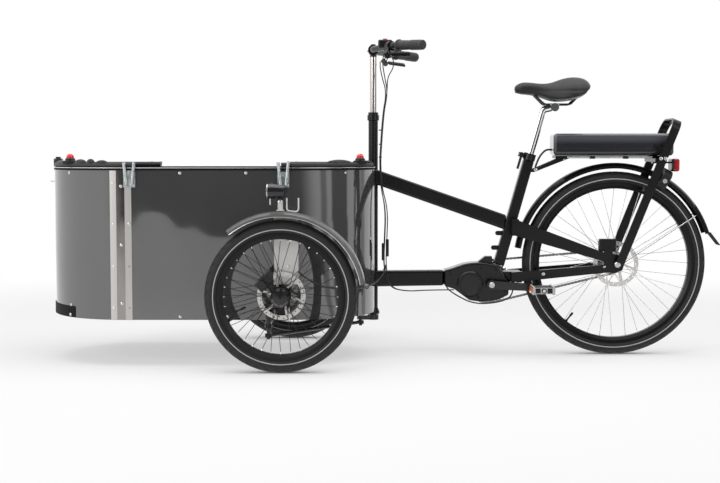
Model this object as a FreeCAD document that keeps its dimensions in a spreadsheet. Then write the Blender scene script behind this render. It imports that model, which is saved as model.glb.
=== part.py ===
import FreeCAD, Part
import math
import os
import Sketcher

# Cargo tricycle: two small steered wheels beside a long round-ended box, one driven rear wheel.
# Millimetres. +X runs to the rear, +Y to the rider's right, +Z up. The wheels stand on z = 0.

Vec = FreeCAD.Vector
doc = FreeCAD.newDocument("cargo_tricycle")
sheet = doc.addObject("Spreadsheet::Sheet", "Sizes")

SIZES = dict(
    # wheels
    front_axle_x=-349, rear_axle_x=816, wheel_offset=63,
    front_tyre_r=250, front_bead_r=203, rear_tyre_r=327, rear_bead_r=280,
    tyre_chord=28, rim_width=34, rim_depth=21, spoke_r=1, spoke_count=36, spoke_cross=40,
    front_flange_r=33, rear_flange_r=34, front_hub_reach=27, rear_hub_reach=28, hub_barrel_r=19,
    disc_r=80, disc_band=15, disc_thick=2, front_axle_r=8, rear_axle_r=6, running_gap=0.05, fit_gap=0.3,
    # steering
    column_x=-43, steerer_r=12, head_tube_r=17, head_tube_low=145, head_tube_high=849, headset_r=21,
    kingpin_clear=62, kingpin_r=10, knuckle_r=17, steer_arm=45, stem_top=1081, bar_r=11, grip_r=16,
    bar_reach=285, link_r=6, link_eye_r=12, ball_pin_r=6,
    # cargo box
    box_half=290, box_front_x=-881, box_back=-36, box_low=158, box_high=667, panel=4, floor_z=212,
    floor_thick=6, channel_half=24, channel_depth=31, trim_width=13.5, trim_cap=2.5, trim_skirt=6,
    bench_z=380, bench_depth=330, bench_board=18, rail_r=9, rail_inset=8, strip_thick=1.6,
    # frame and drive
    tube_half=22, upper_depth=51, lower_low=243, lower_high=300, seat_tube_side=38, seat_lean=15.7,
    seat_foot_x=405, seat_foot_z=321, seat_tube_length=387, crank_x=374.5, crank_z=255, crank_length=170,
    motor_half=40, spindle_r=11, stay_y=55, stay_thick=14, chain_y=48, ring_teeth=38, sprocket_teeth=21,
    chain_pitch=12.7, post_r=13.6, post_length=336, beam_side=40, stud_reach=20,
    # fenders, rack and battery
    front_fender_r=281, front_fender_half=32, rear_fender_r=358, rear_fender_half=30, fender_sheet=1.6,
    fender_lip=19, rack_half=90, rack_bar=30, rack_thick=6, rack_lean=21.6, rack_length=528,
    yoke_front=446, yoke_back=470, yoke_low=428, yoke_high=486,
    lower_yoke_back=482, lower_yoke_low=263, lower_yoke_high=299, battery_front=592, battery_length=424, battery_low=710, battery_high=788,
    battery_half=55,
)
for row, (name, value) in enumerate(SIZES.items(), start=1):
    sheet.set("A%d" % row, name)
    sheet.set("B%d" % row, str(value))
    sheet.setAlias("B%d" % row, name)
doc.recompute()
NODES = {}


def size(name):
    return float(sheet.get(name))


def number(value):
    # a plain number, or an expression on the sheet written as text
    if isinstance(value, str):
        return float(sheet.evalExpression(value))
    return float(value)


def bind(obj, prop, value):
    if isinstance(value, str):
        obj.setExpression(prop, value)
    else:
        setattr(obj, prop, value)


def node(label, obj):
    obj.Label = label
    NODES[label] = obj
    return obj


# Sketches: a loop is a list of points; a point (u, v, mu, mv) is reached by an arc through (mu, mv)
def arc_through(first, middle, last):
    (ax, ay), (bx, by), (cx, cy) = first, middle, last
    d = 2 * (ax * (by - cy) + bx * (cy - ay) + cx * (ay - by))
    a2, b2, c2 = ax * ax + ay * ay, bx * bx + by * by, cx * cx + cy * cy
    ux = (a2 * (by - cy) + b2 * (cy - ay) + c2 * (ay - by)) / d
    uy = (a2 * (cx - bx) + b2 * (ax - cx) + c2 * (bx - ax)) / d
    radius = math.hypot(ax - ux, ay - uy)
    turn = (bx - ax) * (cy - by) - (by - ay) * (cx - bx)
    return (ux, uy), radius, turn > 0


def add_loop(sketch, loop):
    count = len(loop)
    points = [(number(p[0]), number(p[1])) for p in loop]
    ends = []
    centres = []
    for i in range(count):
        first, last = points[i], points[(i + 1) % count]
        target = loop[(i + 1) % count]
        if len(target) == 4:
            middle = (number(target[2]), number(target[3]))
            (ux, uy), radius, left = arc_through(first, middle, last)
            begin, finish = (first, last) if left else (last, first)
            a0 = math.atan2(begin[1] - uy, begin[0] - ux)
            a1 = math.atan2(finish[1] - uy, finish[0] - ux)
            if a1 <= a0:
                a1 += 2 * math.pi
            circle = Part.Circle(Vec(ux, uy, 0), Vec(0, 0, 1), radius)
            geo = sketch.addGeometry(Part.ArcOfCircle(circle, a0, a1))
            upright = abs(last[1] - first[1]) >= abs(last[0] - first[0])
            kind, value = ("DistanceX", ux) if upright else ("DistanceY", uy)
            centres.append((kind, geo, value))
            ends.append((geo, 1, 2) if left else (geo, 2, 1))
        else:
            geo = sketch.addGeometry(Part.LineSegment(Vec(*first, 0), Vec(*last, 0)))
            ends.append((geo, 1, 2))
    for i in range(count):
        geo, begin, finish = ends[i]
        after, after_begin, _ = ends[(i + 1) % count]
        sketch.addConstraint(Sketcher.Constraint("Coincident", geo, finish, after, after_begin))
        for axis, kind in ((0, "DistanceX"), (1, "DistanceY")):
            item = sketch.addConstraint(Sketcher.Constraint(kind, geo, begin, points[i][axis]))
            if isinstance(loop[i][axis], str):
                sketch.setExpression("Constraints[%d]" % item, loop[i][axis])
    for kind, geo, value in centres:
        sketch.addConstraint(Sketcher.Constraint(kind, geo, 3, value))


def add_circle(sketch, u, v, r):
    geo = sketch.addGeometry(Part.Circle(Vec(number(u), number(v), 0), Vec(0, 0, 1), number(r)))
    for kind, value in (("DistanceX", u), ("DistanceY", v)):
        item = sketch.addConstraint(Sketcher.Constraint(kind, geo, 3, number(value)))
        if isinstance(value, str):
            sketch.setExpression("Constraints[%d]" % item, value)
    item = sketch.addConstraint(Sketcher.Constraint("Radius", geo, number(r)))
    if isinstance(r, str):
        sketch.setExpression("Constraints[%d]" % item, r)


def sketch_on(body, plane, loops):
    sketch = body.newObject("Sketcher::SketchObject", body.Name + "_outline")
    support = [f for f in body.Origin.OriginFeatures if f.Role == plane][0]
    sketch.AttachmentSupport = [(support, "")]
    sketch.MapMode = "FlatFace"
    for loop in loops:
        if loop[0] == "circle":
            add_circle(sketch, *loop[1:])
        else:
            add_loop(sketch, loop)
    return sketch


def place(base, rotation=None):
    return FreeCAD.Placement(Vec(*base), rotation or FreeCAD.Rotation())


def pad(name, plane, loops, length, base=(0, 0, 0), rotation=None, side="Symmetric", fillet=None):
    body = doc.addObject("PartDesign::Body", name)
    sketch = sketch_on(body, plane, loops)
    feature = body.newObject("PartDesign::Pad", name + "_pad")
    feature.Profile = sketch
    feature.SideType = side
    bind(feature, "Length", length)
    if fillet:
        doc.recompute()
        rounding = body.newObject("PartDesign::Fillet", name + "_rounding")
        rounding.Base = (feature, [""])
        rounding.UseAllEdges = True
        bind(rounding, "Radius", fillet)
    body.Placement = place(base, rotation)
    return body


def revolve(name, loops, base, axis, turn=360, start=0):
    # the sketch's first axis becomes the turning axis; a part turn starts at start degrees
    body = doc.addObject("PartDesign::Body", name)
    sketch = sketch_on(body, "XY_Plane", loops)
    feature = body.newObject("PartDesign::Revolution", name + "_turn")
    feature.Profile = sketch
    feature.ReferenceAxis = (sketch, ["H_Axis"])
    bind(feature, "Angle", turn)
    aim = FreeCAD.Rotation(Vec(1, 0, 0), Vec(*axis))
    body.Placement = place(base, FreeCAD.Rotation(Vec(*axis), start).multiply(aim))
    return body


def shape_feature(name, shape):
    obj = doc.addObject("Part::Feature", name)
    obj.Shape = shape
    return obj


def group(label, objects):
    obj = doc.addObject("Part::Compound", label)
    obj.Links = objects
    return node(label, obj)


def fuse(name, objects):
    obj = doc.addObject("Part::MultiFuse", name)
    obj.Shapes = objects
    return obj


def cut(name, base, tool):
    obj = doc.addObject("Part::Cut", name)
    obj.Base = base
    obj.Tool = tool
    return obj


# Plain solids for pieces that repeat or follow a bent route
def block(x0, x1, y0, y1, z0, z1):
    low = Vec(min(x0, x1), min(y0, y1), min(z0, z1))
    return Part.makeBox(abs(x1 - x0), abs(y1 - y0), abs(z1 - z0), low)


def rod(start, end, radius):
    line = Vec(*end) - Vec(*start)
    return Part.makeCylinder(radius, line.Length, Vec(*start), line)


def tube(start, end, outer, inner):
    return rod(start, end, outer).cut(rod(start, end, inner))


def joined(shapes):
    first = shapes[0]
    return first.multiFuse(shapes[1:]).removeSplitter() if len(shapes) > 1 else first


def bent_rod(points, radius, bend):
    # straight runs joined by tangent arcs
    corners = [Vec(*p) for p in points]
    edges = []
    here = corners[0]
    for before, corner, after in zip(corners, corners[1:], corners[2:]):
        into = (corner - before).normalize()
        out = (after - corner).normalize()
        turn = into.getAngle(out)
        reach = bend * math.tan(turn / 2)
        start, end = corner - into * reach, corner + out * reach
        bisector = (out - into).normalize()
        centre = corner + bisector * (bend / math.cos(turn / 2))
        middle = centre - bisector * bend
        if (start - here).Length > 1e-6:
            edges.append(Part.makeLine(here, start))
        edges.append(Part.Arc(start, middle, end).toShape())
        here = end
    edges.append(Part.makeLine(here, corners[-1]))
    wire = Part.Wire(edges)
    direction = corners[1] - corners[0]
    ring = Part.Wire(Part.makeCircle(radius, corners[0], direction))
    return wire.makePipeShell([ring], True, False)


def mirrored(shape):
    return shape.mirror(Vec(0, 0, 0), Vec(0, 1, 0))


SIDES = (("left", -1), ("right", 1))
# kingpins stand clear of the box sides, and the wheels outside the kingpins
PIN_Y = size("box_half") + size("kingpin_clear")
TRACK = PIN_Y + size("wheel_offset")


# Wheels: tyre, rim with its well, crossed spokes, hub with brake disc
def tyre(label, centre, tyre_r, bead_r):
    outer, bead = "Sizes.%s" % tyre_r, "Sizes.%s" % bead_r
    edge = "%s + 6" % bead
    half, less = "Sizes.tyre_chord / 2", "-Sizes.tyre_chord / 2"
    loop = [(half, "%s + Sizes.fit_gap" % bead), (half, edge), (less, edge, 0, outer),
            (less, "%s + Sizes.fit_gap" % bead)]
    node(label, revolve(label, [loop], centre, (0, 1, 0)))


def rim(label, centre, bead_r):
    bead = size(bead_r)
    half = size("rim_width") / 2
    well = size("tyre_chord") / 2 + size("fit_gap")
    inner = bead - size("rim_depth") + 7
    loop = [(-half, bead + 6), (-well, bead + 6), (-well, bead), (well, bead), (well, bead + 6), (half, bead + 6),
            (half, bead - 4), (half * 0.55, inner), (-half * 0.55, inner), (-half, bead - 4)]
    node(label, revolve(label, [loop], centre, (0, 1, 0)))
    return inner


# crossing spokes pass each other by this shift sideways
SPOKE_SHIFT = 2.4


def spokes(label, centre, flange_r, reach, rim_r):
    count = int(size("spoke_count"))
    solids = []
    for i in range(count):
        side = 1 if i % 2 else -1
        lean = 1 if (i // 2) % 2 else -1
        at_hub = math.radians(360 / count * i)
        at_rim = at_hub + math.radians(size("spoke_cross")) * lean
        hub_y = centre[1] + side * (reach - 2) + lean * SPOKE_SHIFT
        foot = (centre[0] + (flange_r - 5) * math.cos(at_hub), hub_y, centre[2] + (flange_r - 5) * math.sin(at_hub))
        tip = (centre[0] + (rim_r + 2) * math.cos(at_rim), centre[1] + side * 3 + lean * SPOKE_SHIFT / 2,
               centre[2] + (rim_r + 2) * math.sin(at_rim))
        solids.append(rod(foot, tip, size("spoke_r")))
    node(label, shape_feature(label, Part.makeCompound(solids)))


def brake_disc(name, centre, y):
    # ring with vent holes, carried on six swept arms
    r, band, thick = size("disc_r"), size("disc_band"), size("disc_thick")
    x, z = centre[0], centre[2]
    ring = tube((x, y, z), (x, y + thick, z), r, r - band)
    boss = tube((x, y, z), (x, y + thick, z), size("hub_barrel_r") + 7, size("hub_barrel_r"))
    arms = []
    for i in range(6):
        arm = block(x + 20, x + r - band + 3, y, y + thick, z - 3.5, z + 3.5)
        arm.rotate(Vec(x + 22, 0, z), Vec(0, 1, 0), 22)
        arm.rotate(Vec(x, 0, z), Vec(0, 1, 0), 60 * i)
        arms.append(arm)
    keep = tube((x, y, z), (x, y + thick, z), r - band / 2, size("hub_barrel_r") + 2)
    disc = joined([ring, boss, joined(arms).common(keep)])
    holes = []
    for i in range(30):
        a = math.radians(12 * i)
        off = r - band * (0.3 if i % 2 else 0.7)
        hole = (x + off * math.cos(a), y - 1, z + off * math.sin(a))
        holes.append(rod(hole, (hole[0], y + thick + 1, hole[2]), 2.2))
    return shape_feature(name, disc.cut(Part.makeCompound(holes)))


def front_wheel(side, sign):
    centre = (size("front_axle_x"), sign * TRACK, size("front_tyre_r"))
    tyre("front_tyre_" + side, centre, "front_tyre_r", "front_bead_r")
    rim_r = rim("front_rim_" + side, centre, "front_bead_r")
    flange, reach, barrel = size("front_flange_r"), size("front_hub_reach"), size("hub_barrel_r")
    spokes("front_spokes_" + side, centre, flange, reach, rim_r)
    bore = "Sizes.front_axle_r + Sizes.running_gap"
    face = reach + 6
    profile = [(-face, bore), (-face, barrel), (-reach - 2, barrel), (-reach - 2, flange), (-reach + 2, flange),
               (-reach + 2, barrel), (reach - 4, barrel), (reach - 4, flange), (reach, flange),
               (reach + 5, flange - 4), (reach + 14, barrel + 4), (reach + 16, 0.0), (reach + 4, 0.0), (reach + 4, bore)]
    hub = revolve("front_hub_core_" + side, [profile], centre, (0, sign, 0))
    disc_y = centre[1] - sign * (face - 1)
    disc = brake_disc("front_disc_" + side, centre, disc_y if sign > 0 else disc_y - size("disc_thick"))
    group("front_hub_" + side, [hub, disc])


for side, sign in SIDES:
    front_wheel(side, sign)

REAR = (size("rear_axle_x"), 0, size("rear_tyre_r"))
tyre("rear_tyre", REAR, "rear_tyre_r", "rear_bead_r")
rear_rim_r = rim("rear_rim", REAR, "rear_bead_r")
rear_reach, rear_flange = size("rear_hub_reach"), size("rear_flange_r")
spokes("rear_spokes", REAR, rear_flange, rear_reach, rear_rim_r)
rear_bore = "Sizes.rear_axle_r + Sizes.running_gap"
rear_profile = [(-58, rear_bore), (-58, 19), (-50, 19), (-46, 22), (-rear_reach - 2, 26), (-rear_reach - 2, rear_flange),
                (-rear_reach + 2, rear_flange), (-rear_reach + 6, 27), (rear_reach - 6, 27),
                (rear_reach - 2, rear_flange), (rear_reach + 2, rear_flange), (rear_reach + 2, 26), (41, 24),
                (41, rear_bore)]
rear_hub_core = revolve("rear_hub_core", [rear_profile], REAR, (0, 1, 0))
rear_disc = brake_disc("rear_disc", REAR, -52)
group("rear_hub", [rear_hub_core, rear_disc])


# Knuckles: barrel on the kingpin, stub axle, forward steering arm with its ball pin, caliper and fender strut
AXLE_X, AXLE_Z = size("front_axle_x"), size("front_tyre_r")
BEAM_HIGH = size("floor_z") - size("floor_thick")
LINK_Z = 114
ROD_Z = 145
KNUCKLE_TOP = AXLE_Z + 68


def knuckle(side, sign):
    y = sign * PIN_Y
    x_ball = AXLE_X - size("steer_arm")
    low, high = BEAM_HIGH + 0.6, KNUCKLE_TOP
    axle_tip = sign * (TRACK + size("front_hub_reach") + 3)
    barrel = rod((AXLE_X, y, low), (AXLE_X, y, high), size("knuckle_r"))
    stub = rod((AXLE_X, y, AXLE_Z), (AXLE_X, sign * (TRACK - size("front_hub_reach") - 7), AXLE_Z), 15)
    axle = rod((AXLE_X, y, AXLE_Z), (AXLE_X, axle_tip, AXLE_Z), size("front_axle_r"))
    arm = block(x_ball - 13, AXLE_X, y - 11, y + 11, low, low + 13)
    post = rod((x_ball, y, low), (x_ball, y, ROD_Z + 8), 9)
    pin = rod((x_ball, y, low), (x_ball, y, LINK_Z - 12 if side == "left" else ROD_Z - 12), size("ball_pin_r"))
    solid = joined([barrel, stub, axle, arm, post, pin])
    solid = solid.cut(rod((AXLE_X, y, low - 5), (AXLE_X, y, high + 5), size("kingpin_r") + size("running_gap")))
    # caliper astride the disc, forward and above the hub
    disc_y = TRACK - size("front_hub_reach") - 5
    reach = size("disc_r") - 6
    caliper = block(AXLE_X + reach - 22, AXLE_X + reach + 16, sign * (disc_y - 16), sign * (disc_y + 6),
                    AXLE_Z - 38, AXLE_Z + 38)
    slot = block(AXLE_X, AXLE_X + size("disc_r") + 3, sign * (disc_y - 2.6), sign * (disc_y + 3.6),
                 AXLE_Z - 50, AXLE_Z + 50)
    caliper = caliper.makeFillet(4, caliper.Edges).cut(slot)
    caliper.rotate(Vec(AXLE_X, 0, AXLE_Z), Vec(0, 1, 0), -135)
    lug = block(AXLE_X, AXLE_X + reach - 8, sign * (disc_y - 12), sign * (disc_y - 5), AXLE_Z - 16, AXLE_Z + 16)
    lug.rotate(Vec(AXLE_X, 0, AXLE_Z), Vec(0, 1, 0), -135)
    solid = joined([solid, lug.cut(rod((AXLE_X, y, low - 5), (AXLE_X, y, high + 5), size("knuckle_r")))])
    caliper = caliper.cut(solid)
    # bright strut plate that carries the fender
    lip_y = TRACK - size("front_fender_half")
    plate_y = PIN_Y + size("knuckle_r") - 2
    foot, top = AXLE_Z + 36, AXLE_Z + size("front_fender_r") - 17
    outline = [(plate_y, foot), (plate_y, top - 59), (lip_y - 3, top - 28), (lip_y - 3, top), (lip_y, top),
               (lip_y, top - 30), (plate_y + 3, top - 61), (plate_y + 3, foot)]
    face = Part.Face(Part.makePolygon([Vec(AXLE_X - 24, sign * a, b) for a, b in outline + outline[:1]]))
    strut = face.extrude(Vec(80, 0, 0)).cut(solid).cut(caliper)
    node("knuckle_" + side, shape_feature("knuckle_" + side, Part.makeCompound([solid, caliper, strut])))


def front_fender(side, sign):
    centre = (AXLE_X, sign * TRACK, AXLE_Z)
    r, half, sheet_t, lip = size("front_fender_r"), size("front_fender_half"), size("fender_sheet"), size("fender_lip")
    profile = [(-half, r - lip), (-half, r - 10), (half, r - 10, 0, r), (half, r - lip),
               (half - sheet_t, r - lip), (half - sheet_t, r - 10 - sheet_t),
               (-half + sheet_t, r - 10 - sheet_t, 0, r - sheet_t), (-half + sheet_t, r - lip)]
    shell = revolve("fender_shell_" + side, [profile], centre, (0, 1, 0), 120, 51)
    if side == "right":
        return node("fender_" + side, shell)
    # lamp bracket and guard wire stand on the left fender
    top = AXLE_Z + r - 1
    y = centre[1]
    bracket = joined([block(AXLE_X - 12, AXLE_X + 12, y - 15, y + 15, top, top + 4),
                      block(AXLE_X - 8, AXLE_X + 8, y - 9, y - 5, top, top + 34),
                      block(AXLE_X - 8, AXLE_X + 8, y + 5, y + 9, top, top + 34)])
    pivot = rod((AXLE_X, y - 14, top + 30), (AXLE_X, y + 14, top + 30), 3)
    wire = bent_rod([(AXLE_X + 21, y, top + 43), (AXLE_X + 21, y, top + 1), (AXLE_X + 59, y, top - 3),
                     (AXLE_X + 59, y, top + 43)], 2.5, 10)
    tool = shape_feature("fender_solid", Part.makeCylinder(r, 2 * half, Vec(AXLE_X, y - half, AXLE_Z), Vec(0, 1, 0)))
    blank = shape_feature("lamp_stand_blank", Part.makeCompound([joined([bracket, pivot]), wire]))
    stand = cut("lamp_stand", blank, tool)
    return group("fender_" + side, [shell, stand])


for side, sign in SIDES:
    knuckle(side, sign)
    front_fender(side, sign)

# Headlamp: bowl facing forward, hung on the bracket's pivot
lamp_y = -TRACK
lamp_pivot_z = AXLE_Z + size("front_fender_r") + 29
lamp_profile = [(0, 0.0), (0, 20), (-36, 24), (-55, 24), (-55, 22), (-58, 15), (-60, 0.0)]
lamp_bowl = revolve("lamp_bowl", [[(-u, v) for u, v in lamp_profile]],
                    (AXLE_X + 12, lamp_y, lamp_pivot_z + 34), (-1, 0, 0))
lamp_ear = shape_feature("lamp_ear", block(AXLE_X - 7, AXLE_X + 7, lamp_y - 4.5, lamp_y + 4.5, lamp_pivot_z - 8,
                                          lamp_pivot_z + 14))
lamp_hole = shape_feature("lamp_hole", rod((AXLE_X, lamp_y - 20, lamp_pivot_z), (AXLE_X, lamp_y + 20, lamp_pivot_z),
                                          3 + size("running_gap")))
node("headlamp", cut("headlamp", fuse("lamp_whole", [lamp_bowl, lamp_ear]), lamp_hole))


# Steering column, bar and controls
COLUMN = size("column_x")
head_low, head_high = size("head_tube_low"), size("head_tube_high")
head_bore = "Sizes.steerer_r + Sizes.running_gap"
head_r, headset_r = "Sizes.head_tube_r", "Sizes.headset_r"
head_profile = [(head_low, head_bore), (head_low, "Sizes.head_tube_r + 6"), (head_low + 8, "Sizes.head_tube_r + 6"),
                (head_low + 22, head_r), (head_high - 16, head_r), (head_high - 14, headset_r),
                (head_high + 4, headset_r), (head_high + 6, "Sizes.headset_r - 3"),
                (head_high + 14, "Sizes.headset_r - 3"), (head_high + 14, head_bore)]
node("head_tube", revolve("head_tube", [head_profile], (COLUMN, 0, 0), (0, 0, 1)))

arm_z = LINK_Z + 10
stem_top, bar_r = size("stem_top"), size("bar_r")
ball_x = COLUMN - size("steer_arm")
steerer = rod((COLUMN, 0, arm_z), (COLUMN, 0, stem_top), size("steerer_r"))
drop_arm = joined([block(ball_x, COLUMN, -13, 13, arm_z, arm_z + 14), rod((COLUMN, 0, arm_z), (COLUMN, 0, arm_z + 18), 20),
                   rod((ball_x, 0, arm_z), (ball_x, 0, arm_z + 14), 13)])
ball_pin = rod((ball_x, 0, arm_z + 2), (ball_x, 0, LINK_Z - 12), size("ball_pin_r"))
bar_clamp = rod((COLUMN, -26, stem_top), (COLUMN, 26, stem_top), 19)
wedge_nut = rod((COLUMN, 0, stem_top), (COLUMN, 0, stem_top + 22), 8)
stem = joined([steerer, drop_arm, ball_pin, bar_clamp, wedge_nut])
stem = stem.cut(rod((COLUMN, -40, stem_top), (COLUMN, 40, stem_top), bar_r))
node("steering_stem", shape_feature("steering_stem", stem))

GRIP_FROM = Vec(25, 190, stem_top + 3)
GRIP_TO = Vec(120, size("bar_reach"), stem_top - 3)
GRIP_LINE = (GRIP_TO - GRIP_FROM).normalize()


def on_side(point, sign):
    return (point[0], sign * point[1], point[2])


bar_points = [on_side(GRIP_TO, -1), on_side(GRIP_FROM, -1), (COLUMN, -60, stem_top), (COLUMN, 60, stem_top),
              on_side(GRIP_FROM, 1), on_side(GRIP_TO, 1)]
bar = bent_rod(bar_points, bar_r, 40)
grip_shapes = []
for side, sign in SIDES:
    sleeve = rod(on_side(GRIP_FROM + GRIP_LINE * 20, sign), on_side(GRIP_TO + GRIP_LINE * 3, sign), size("grip_r"))
    grip_shapes.append(sleeve.cut(bar))
node("handlebar", shape_feature("handlebar", bar))
node("grips", shape_feature("grips", Part.makeCompound(grip_shapes)))

BAR_LINE = (GRIP_FROM - Vec(COLUMN, 60, stem_top)).normalize()
PERCH = GRIP_FROM - BAR_LINE * 26
LEVER_DROP, LEVER_TILT = 42, math.radians(45)
outward = Vec(-GRIP_LINE.y, GRIP_LINE.x, 0).normalize()
below = outward * math.sin(LEVER_TILT) + outward.cross(GRIP_LINE).normalize() * math.cos(LEVER_TILT)
lever_axis = below.cross(GRIP_LINE).normalize()
LEVER_PIVOT = PERCH + below * LEVER_DROP + GRIP_LINE * 14
EAR_R, EAR_HALF, SLOT_HALF, PIVOT_R = 9, 12, 6.5, 3
ring = rod(PERCH - BAR_LINE * 10, PERCH + BAR_LINE * 10, bar_r + 6)
stalk = rod(PERCH, LEVER_PIVOT, 7)
hinge = rod(LEVER_PIVOT - lever_axis * EAR_HALF, LEVER_PIVOT + lever_axis * EAR_HALF, EAR_R)
slot_ends = LEVER_PIVOT - lever_axis * SLOT_HALF, LEVER_PIVOT + lever_axis * SLOT_HALF
pivot_pin = rod(LEVER_PIVOT - lever_axis * EAR_HALF, LEVER_PIVOT + lever_axis * EAR_HALF, PIVOT_R)
perch = joined([joined([ring, stalk, hinge]).cut(rod(*slot_ends, 26)), pivot_pin]).cut(bar)
control_shapes = [perch, mirrored(perch)]
# broad two-finger blade on a neck, swung on the perch's pin
LEVER_LENGTH, BLADE_FROM, BLADE_WIDE, BLADE_THICK = 108, 22, 16, 8
blade = Part.makeBox(LEVER_LENGTH - BLADE_FROM, BLADE_THICK, BLADE_WIDE, Vec(BLADE_FROM, -BLADE_THICK / 2, -BLADE_WIDE / 2))
blade = blade.makeFillet(3.5, blade.Edges)
blade.Placement = FreeCAD.Placement(LEVER_PIVOT, FreeCAD.Rotation(GRIP_LINE, below, GRIP_LINE.cross(below), "XYZ"))
neck = rod(LEVER_PIVOT, LEVER_PIVOT + GRIP_LINE * (BLADE_FROM + 8), 3.9)
eye = rod(LEVER_PIVOT - lever_axis * (SLOT_HALF - 0.5), LEVER_PIVOT + lever_axis * (SLOT_HALF - 0.5), EAR_R)
lever = joined([blade, neck, eye]).cut(rod(*slot_ends, PIVOT_R + size("running_gap")))
node("brake_lever_right", shape_feature("brake_lever_right", lever))
node("brake_lever_left", shape_feature("brake_lever_left", mirrored(lever)))
POD = GRIP_FROM - BAR_LINE * 62
pod_x, pod_y, pod_z = POD.x, -POD.y, POD.z
pod = block(pod_x - 24, pod_x + 24, pod_y - 17, pod_y + 17, pod_z - 4, pod_z + 24)
pod = pod.makeFillet(5, pod.Edges)
button_well = rod((pod_x, pod_y, pod_z + 14), (pod_x, pod_y, pod_z + 30), 8 + size("fit_gap"))
control_shapes.append(pod.cut(button_well).cut(bar))
button = rod((pod_x, pod_y, pod_z + 17), (pod_x, pod_y, pod_z + 28), 8)
node("bar_controls", shape_feature("bar_controls", Part.makeCompound(control_shapes)))
node("control_button", shape_feature("control_button", button))

# Steering rods under the box: a drag link from the column and a tie rod between the knuckles
pin_hole = size("ball_pin_r") + size("running_gap")
knuckle_ball_x = AXLE_X - size("steer_arm")


def link_rod(label, start, end, z):
    a, b = Vec(start[0], start[1], z), Vec(end[0], end[1], z)
    eyes = [rod((p.x, p.y, z - 6), (p.x, p.y, z + 6), size("link_eye_r")) for p in (a, b)]
    holes = [rod((p.x, p.y, z - 9), (p.x, p.y, z + 9), pin_hole) for p in (a, b)]
    solid = joined([rod(a, b, size("link_r"))] + eyes)
    node(label, shape_feature(label, solid.cut(Part.makeCompound(holes))))


link_rod("drag_link", (ball_x, 0), (knuckle_ball_x, -PIN_Y), LINK_Z)
link_rod("tie_rod", (knuckle_ball_x, -PIN_Y), (knuckle_ball_x, PIN_Y), ROD_Z)


# Cargo box: two half-round ends, flat sides, floor on an under-beam
def stadium(offset, low, high):
    # the box plan grown by offset, as a solid
    r = size("box_half") + offset
    x0, x1 = size("box_front_x"), size("box_back") - size("box_half")
    middle = block(x0, x1, -r, r, low, high)
    ends = [Part.makeCylinder(r, high - low, Vec(x, 0, low)) for x in (x0, x1)]
    return joined([middle] + ends)


def wall(inner, outer, low, high):
    return stadium(outer, low, high).cut(stadium(inner, low - 1, high + 1))


HALF, WALL = size("box_half"), size("panel")
FRONT_X, REAR_X = size("box_front_x"), size("box_back") - HALF
LOW, HIGH = size("box_low"), size("box_high")
INNER = HALF - WALL
TALL = "Sizes.box_high - Sizes.box_low"
CHANNEL, CHANNEL_BACK = size("channel_half"), REAR_X + HALF - 1 - size("channel_depth")
FRONT_TIP, FRONT_TIP_IN = "Sizes.box_front_x - Sizes.box_half", "Sizes.box_front_x - Sizes.box_half + Sizes.panel"
front_loop = [("Sizes.box_front_x", "-Sizes.box_half", FRONT_TIP, 0),
              ("Sizes.box_front_x", "-Sizes.box_half + Sizes.panel"),
              ("Sizes.box_front_x", "Sizes.box_half - Sizes.panel", FRONT_TIP_IN, 0),
              ("Sizes.box_front_x", "Sizes.box_half")]
front_panel = pad("front_panel", "XY_Plane", [front_loop], TALL, (0, 0, LOW), side="One side")


def arc_x(radius, y):
    return REAR_X + math.sqrt(radius ** 2 - y ** 2)


def arc_middle(radius, y):
    a = 0.5 * (math.pi / 2 + math.asin(abs(y) / radius))
    return REAR_X + radius * math.cos(a), math.copysign(radius * math.sin(a), y)


edge, inside = CHANNEL, CHANNEL + WALL
rear_loop = [(REAR_X, -HALF), (arc_x(HALF, edge), -edge, *arc_middle(HALF, -edge)), (CHANNEL_BACK, -edge),
             (CHANNEL_BACK, edge), (arc_x(HALF, edge), edge), (REAR_X, HALF, *arc_middle(HALF, edge)),
             (REAR_X, INNER), (arc_x(INNER, inside), inside, *arc_middle(INNER, inside)),
             (CHANNEL_BACK - WALL, inside), (CHANNEL_BACK - WALL, -inside), (arc_x(INNER, inside), -inside),
             (REAR_X, -INNER, *arc_middle(INNER, -inside))]
rear_blank = pad("rear_panel_blank", "XY_Plane", [rear_loop], TALL, (0, 0, LOW), side="One side")
SPINE = size("beam_side") / 2
spine_gap = shape_feature("spine_gap", block(CHANNEL_BACK - 20, COLUMN, -SPINE - 1, SPINE + 1, LOW - 1, BEAM_HIGH + 1))
group("box_end_panels", [front_panel, cut("rear_panel", rear_blank, spine_gap)])
BEAM_FROM, BEAM_TO = AXLE_X - SPINE, AXLE_X + SPINE
notched = [(FRONT_X, LOW), (BEAM_FROM - 1, LOW), (BEAM_FROM - 1, BEAM_HIGH + 1)]
notched += [(REAR_X, BEAM_HIGH + 1), (REAR_X, HIGH), (FRONT_X, HIGH)]
panels = [pad("side_panel_" + side, "XZ_Plane", [notched], "Sizes.panel", (0, sign * (HALF - WALL / 2), 0))
          for side, sign in SIDES]
group("box_side_panels", panels)

channel_block = block(CHANNEL_BACK - WALL, 0, -inside, inside, LOW, HIGH + 10)
front_edge = FRONT_X - HALF + size("bench_depth")
rear_edge = REAR_X + HALF - size("bench_depth")
RISER_BACK, RISER_THICK, GROOVE = 40, 12, 3
front_riser_x, rear_riser_x = front_edge - RISER_BACK, rear_edge + RISER_BACK - RISER_THICK
floor = stadium(-WALL, BEAM_HIGH, size("floor_z")).cut(channel_block)
for riser_x in (front_riser_x, rear_riser_x):
    # the risers stand in grooves across the floor
    floor = floor.cut(block(riser_x, riser_x + RISER_THICK, -HALF, HALF, size("floor_z") - GROOVE, HIGH))
node("box_floor", shape_feature("box_floor", floor))

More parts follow.
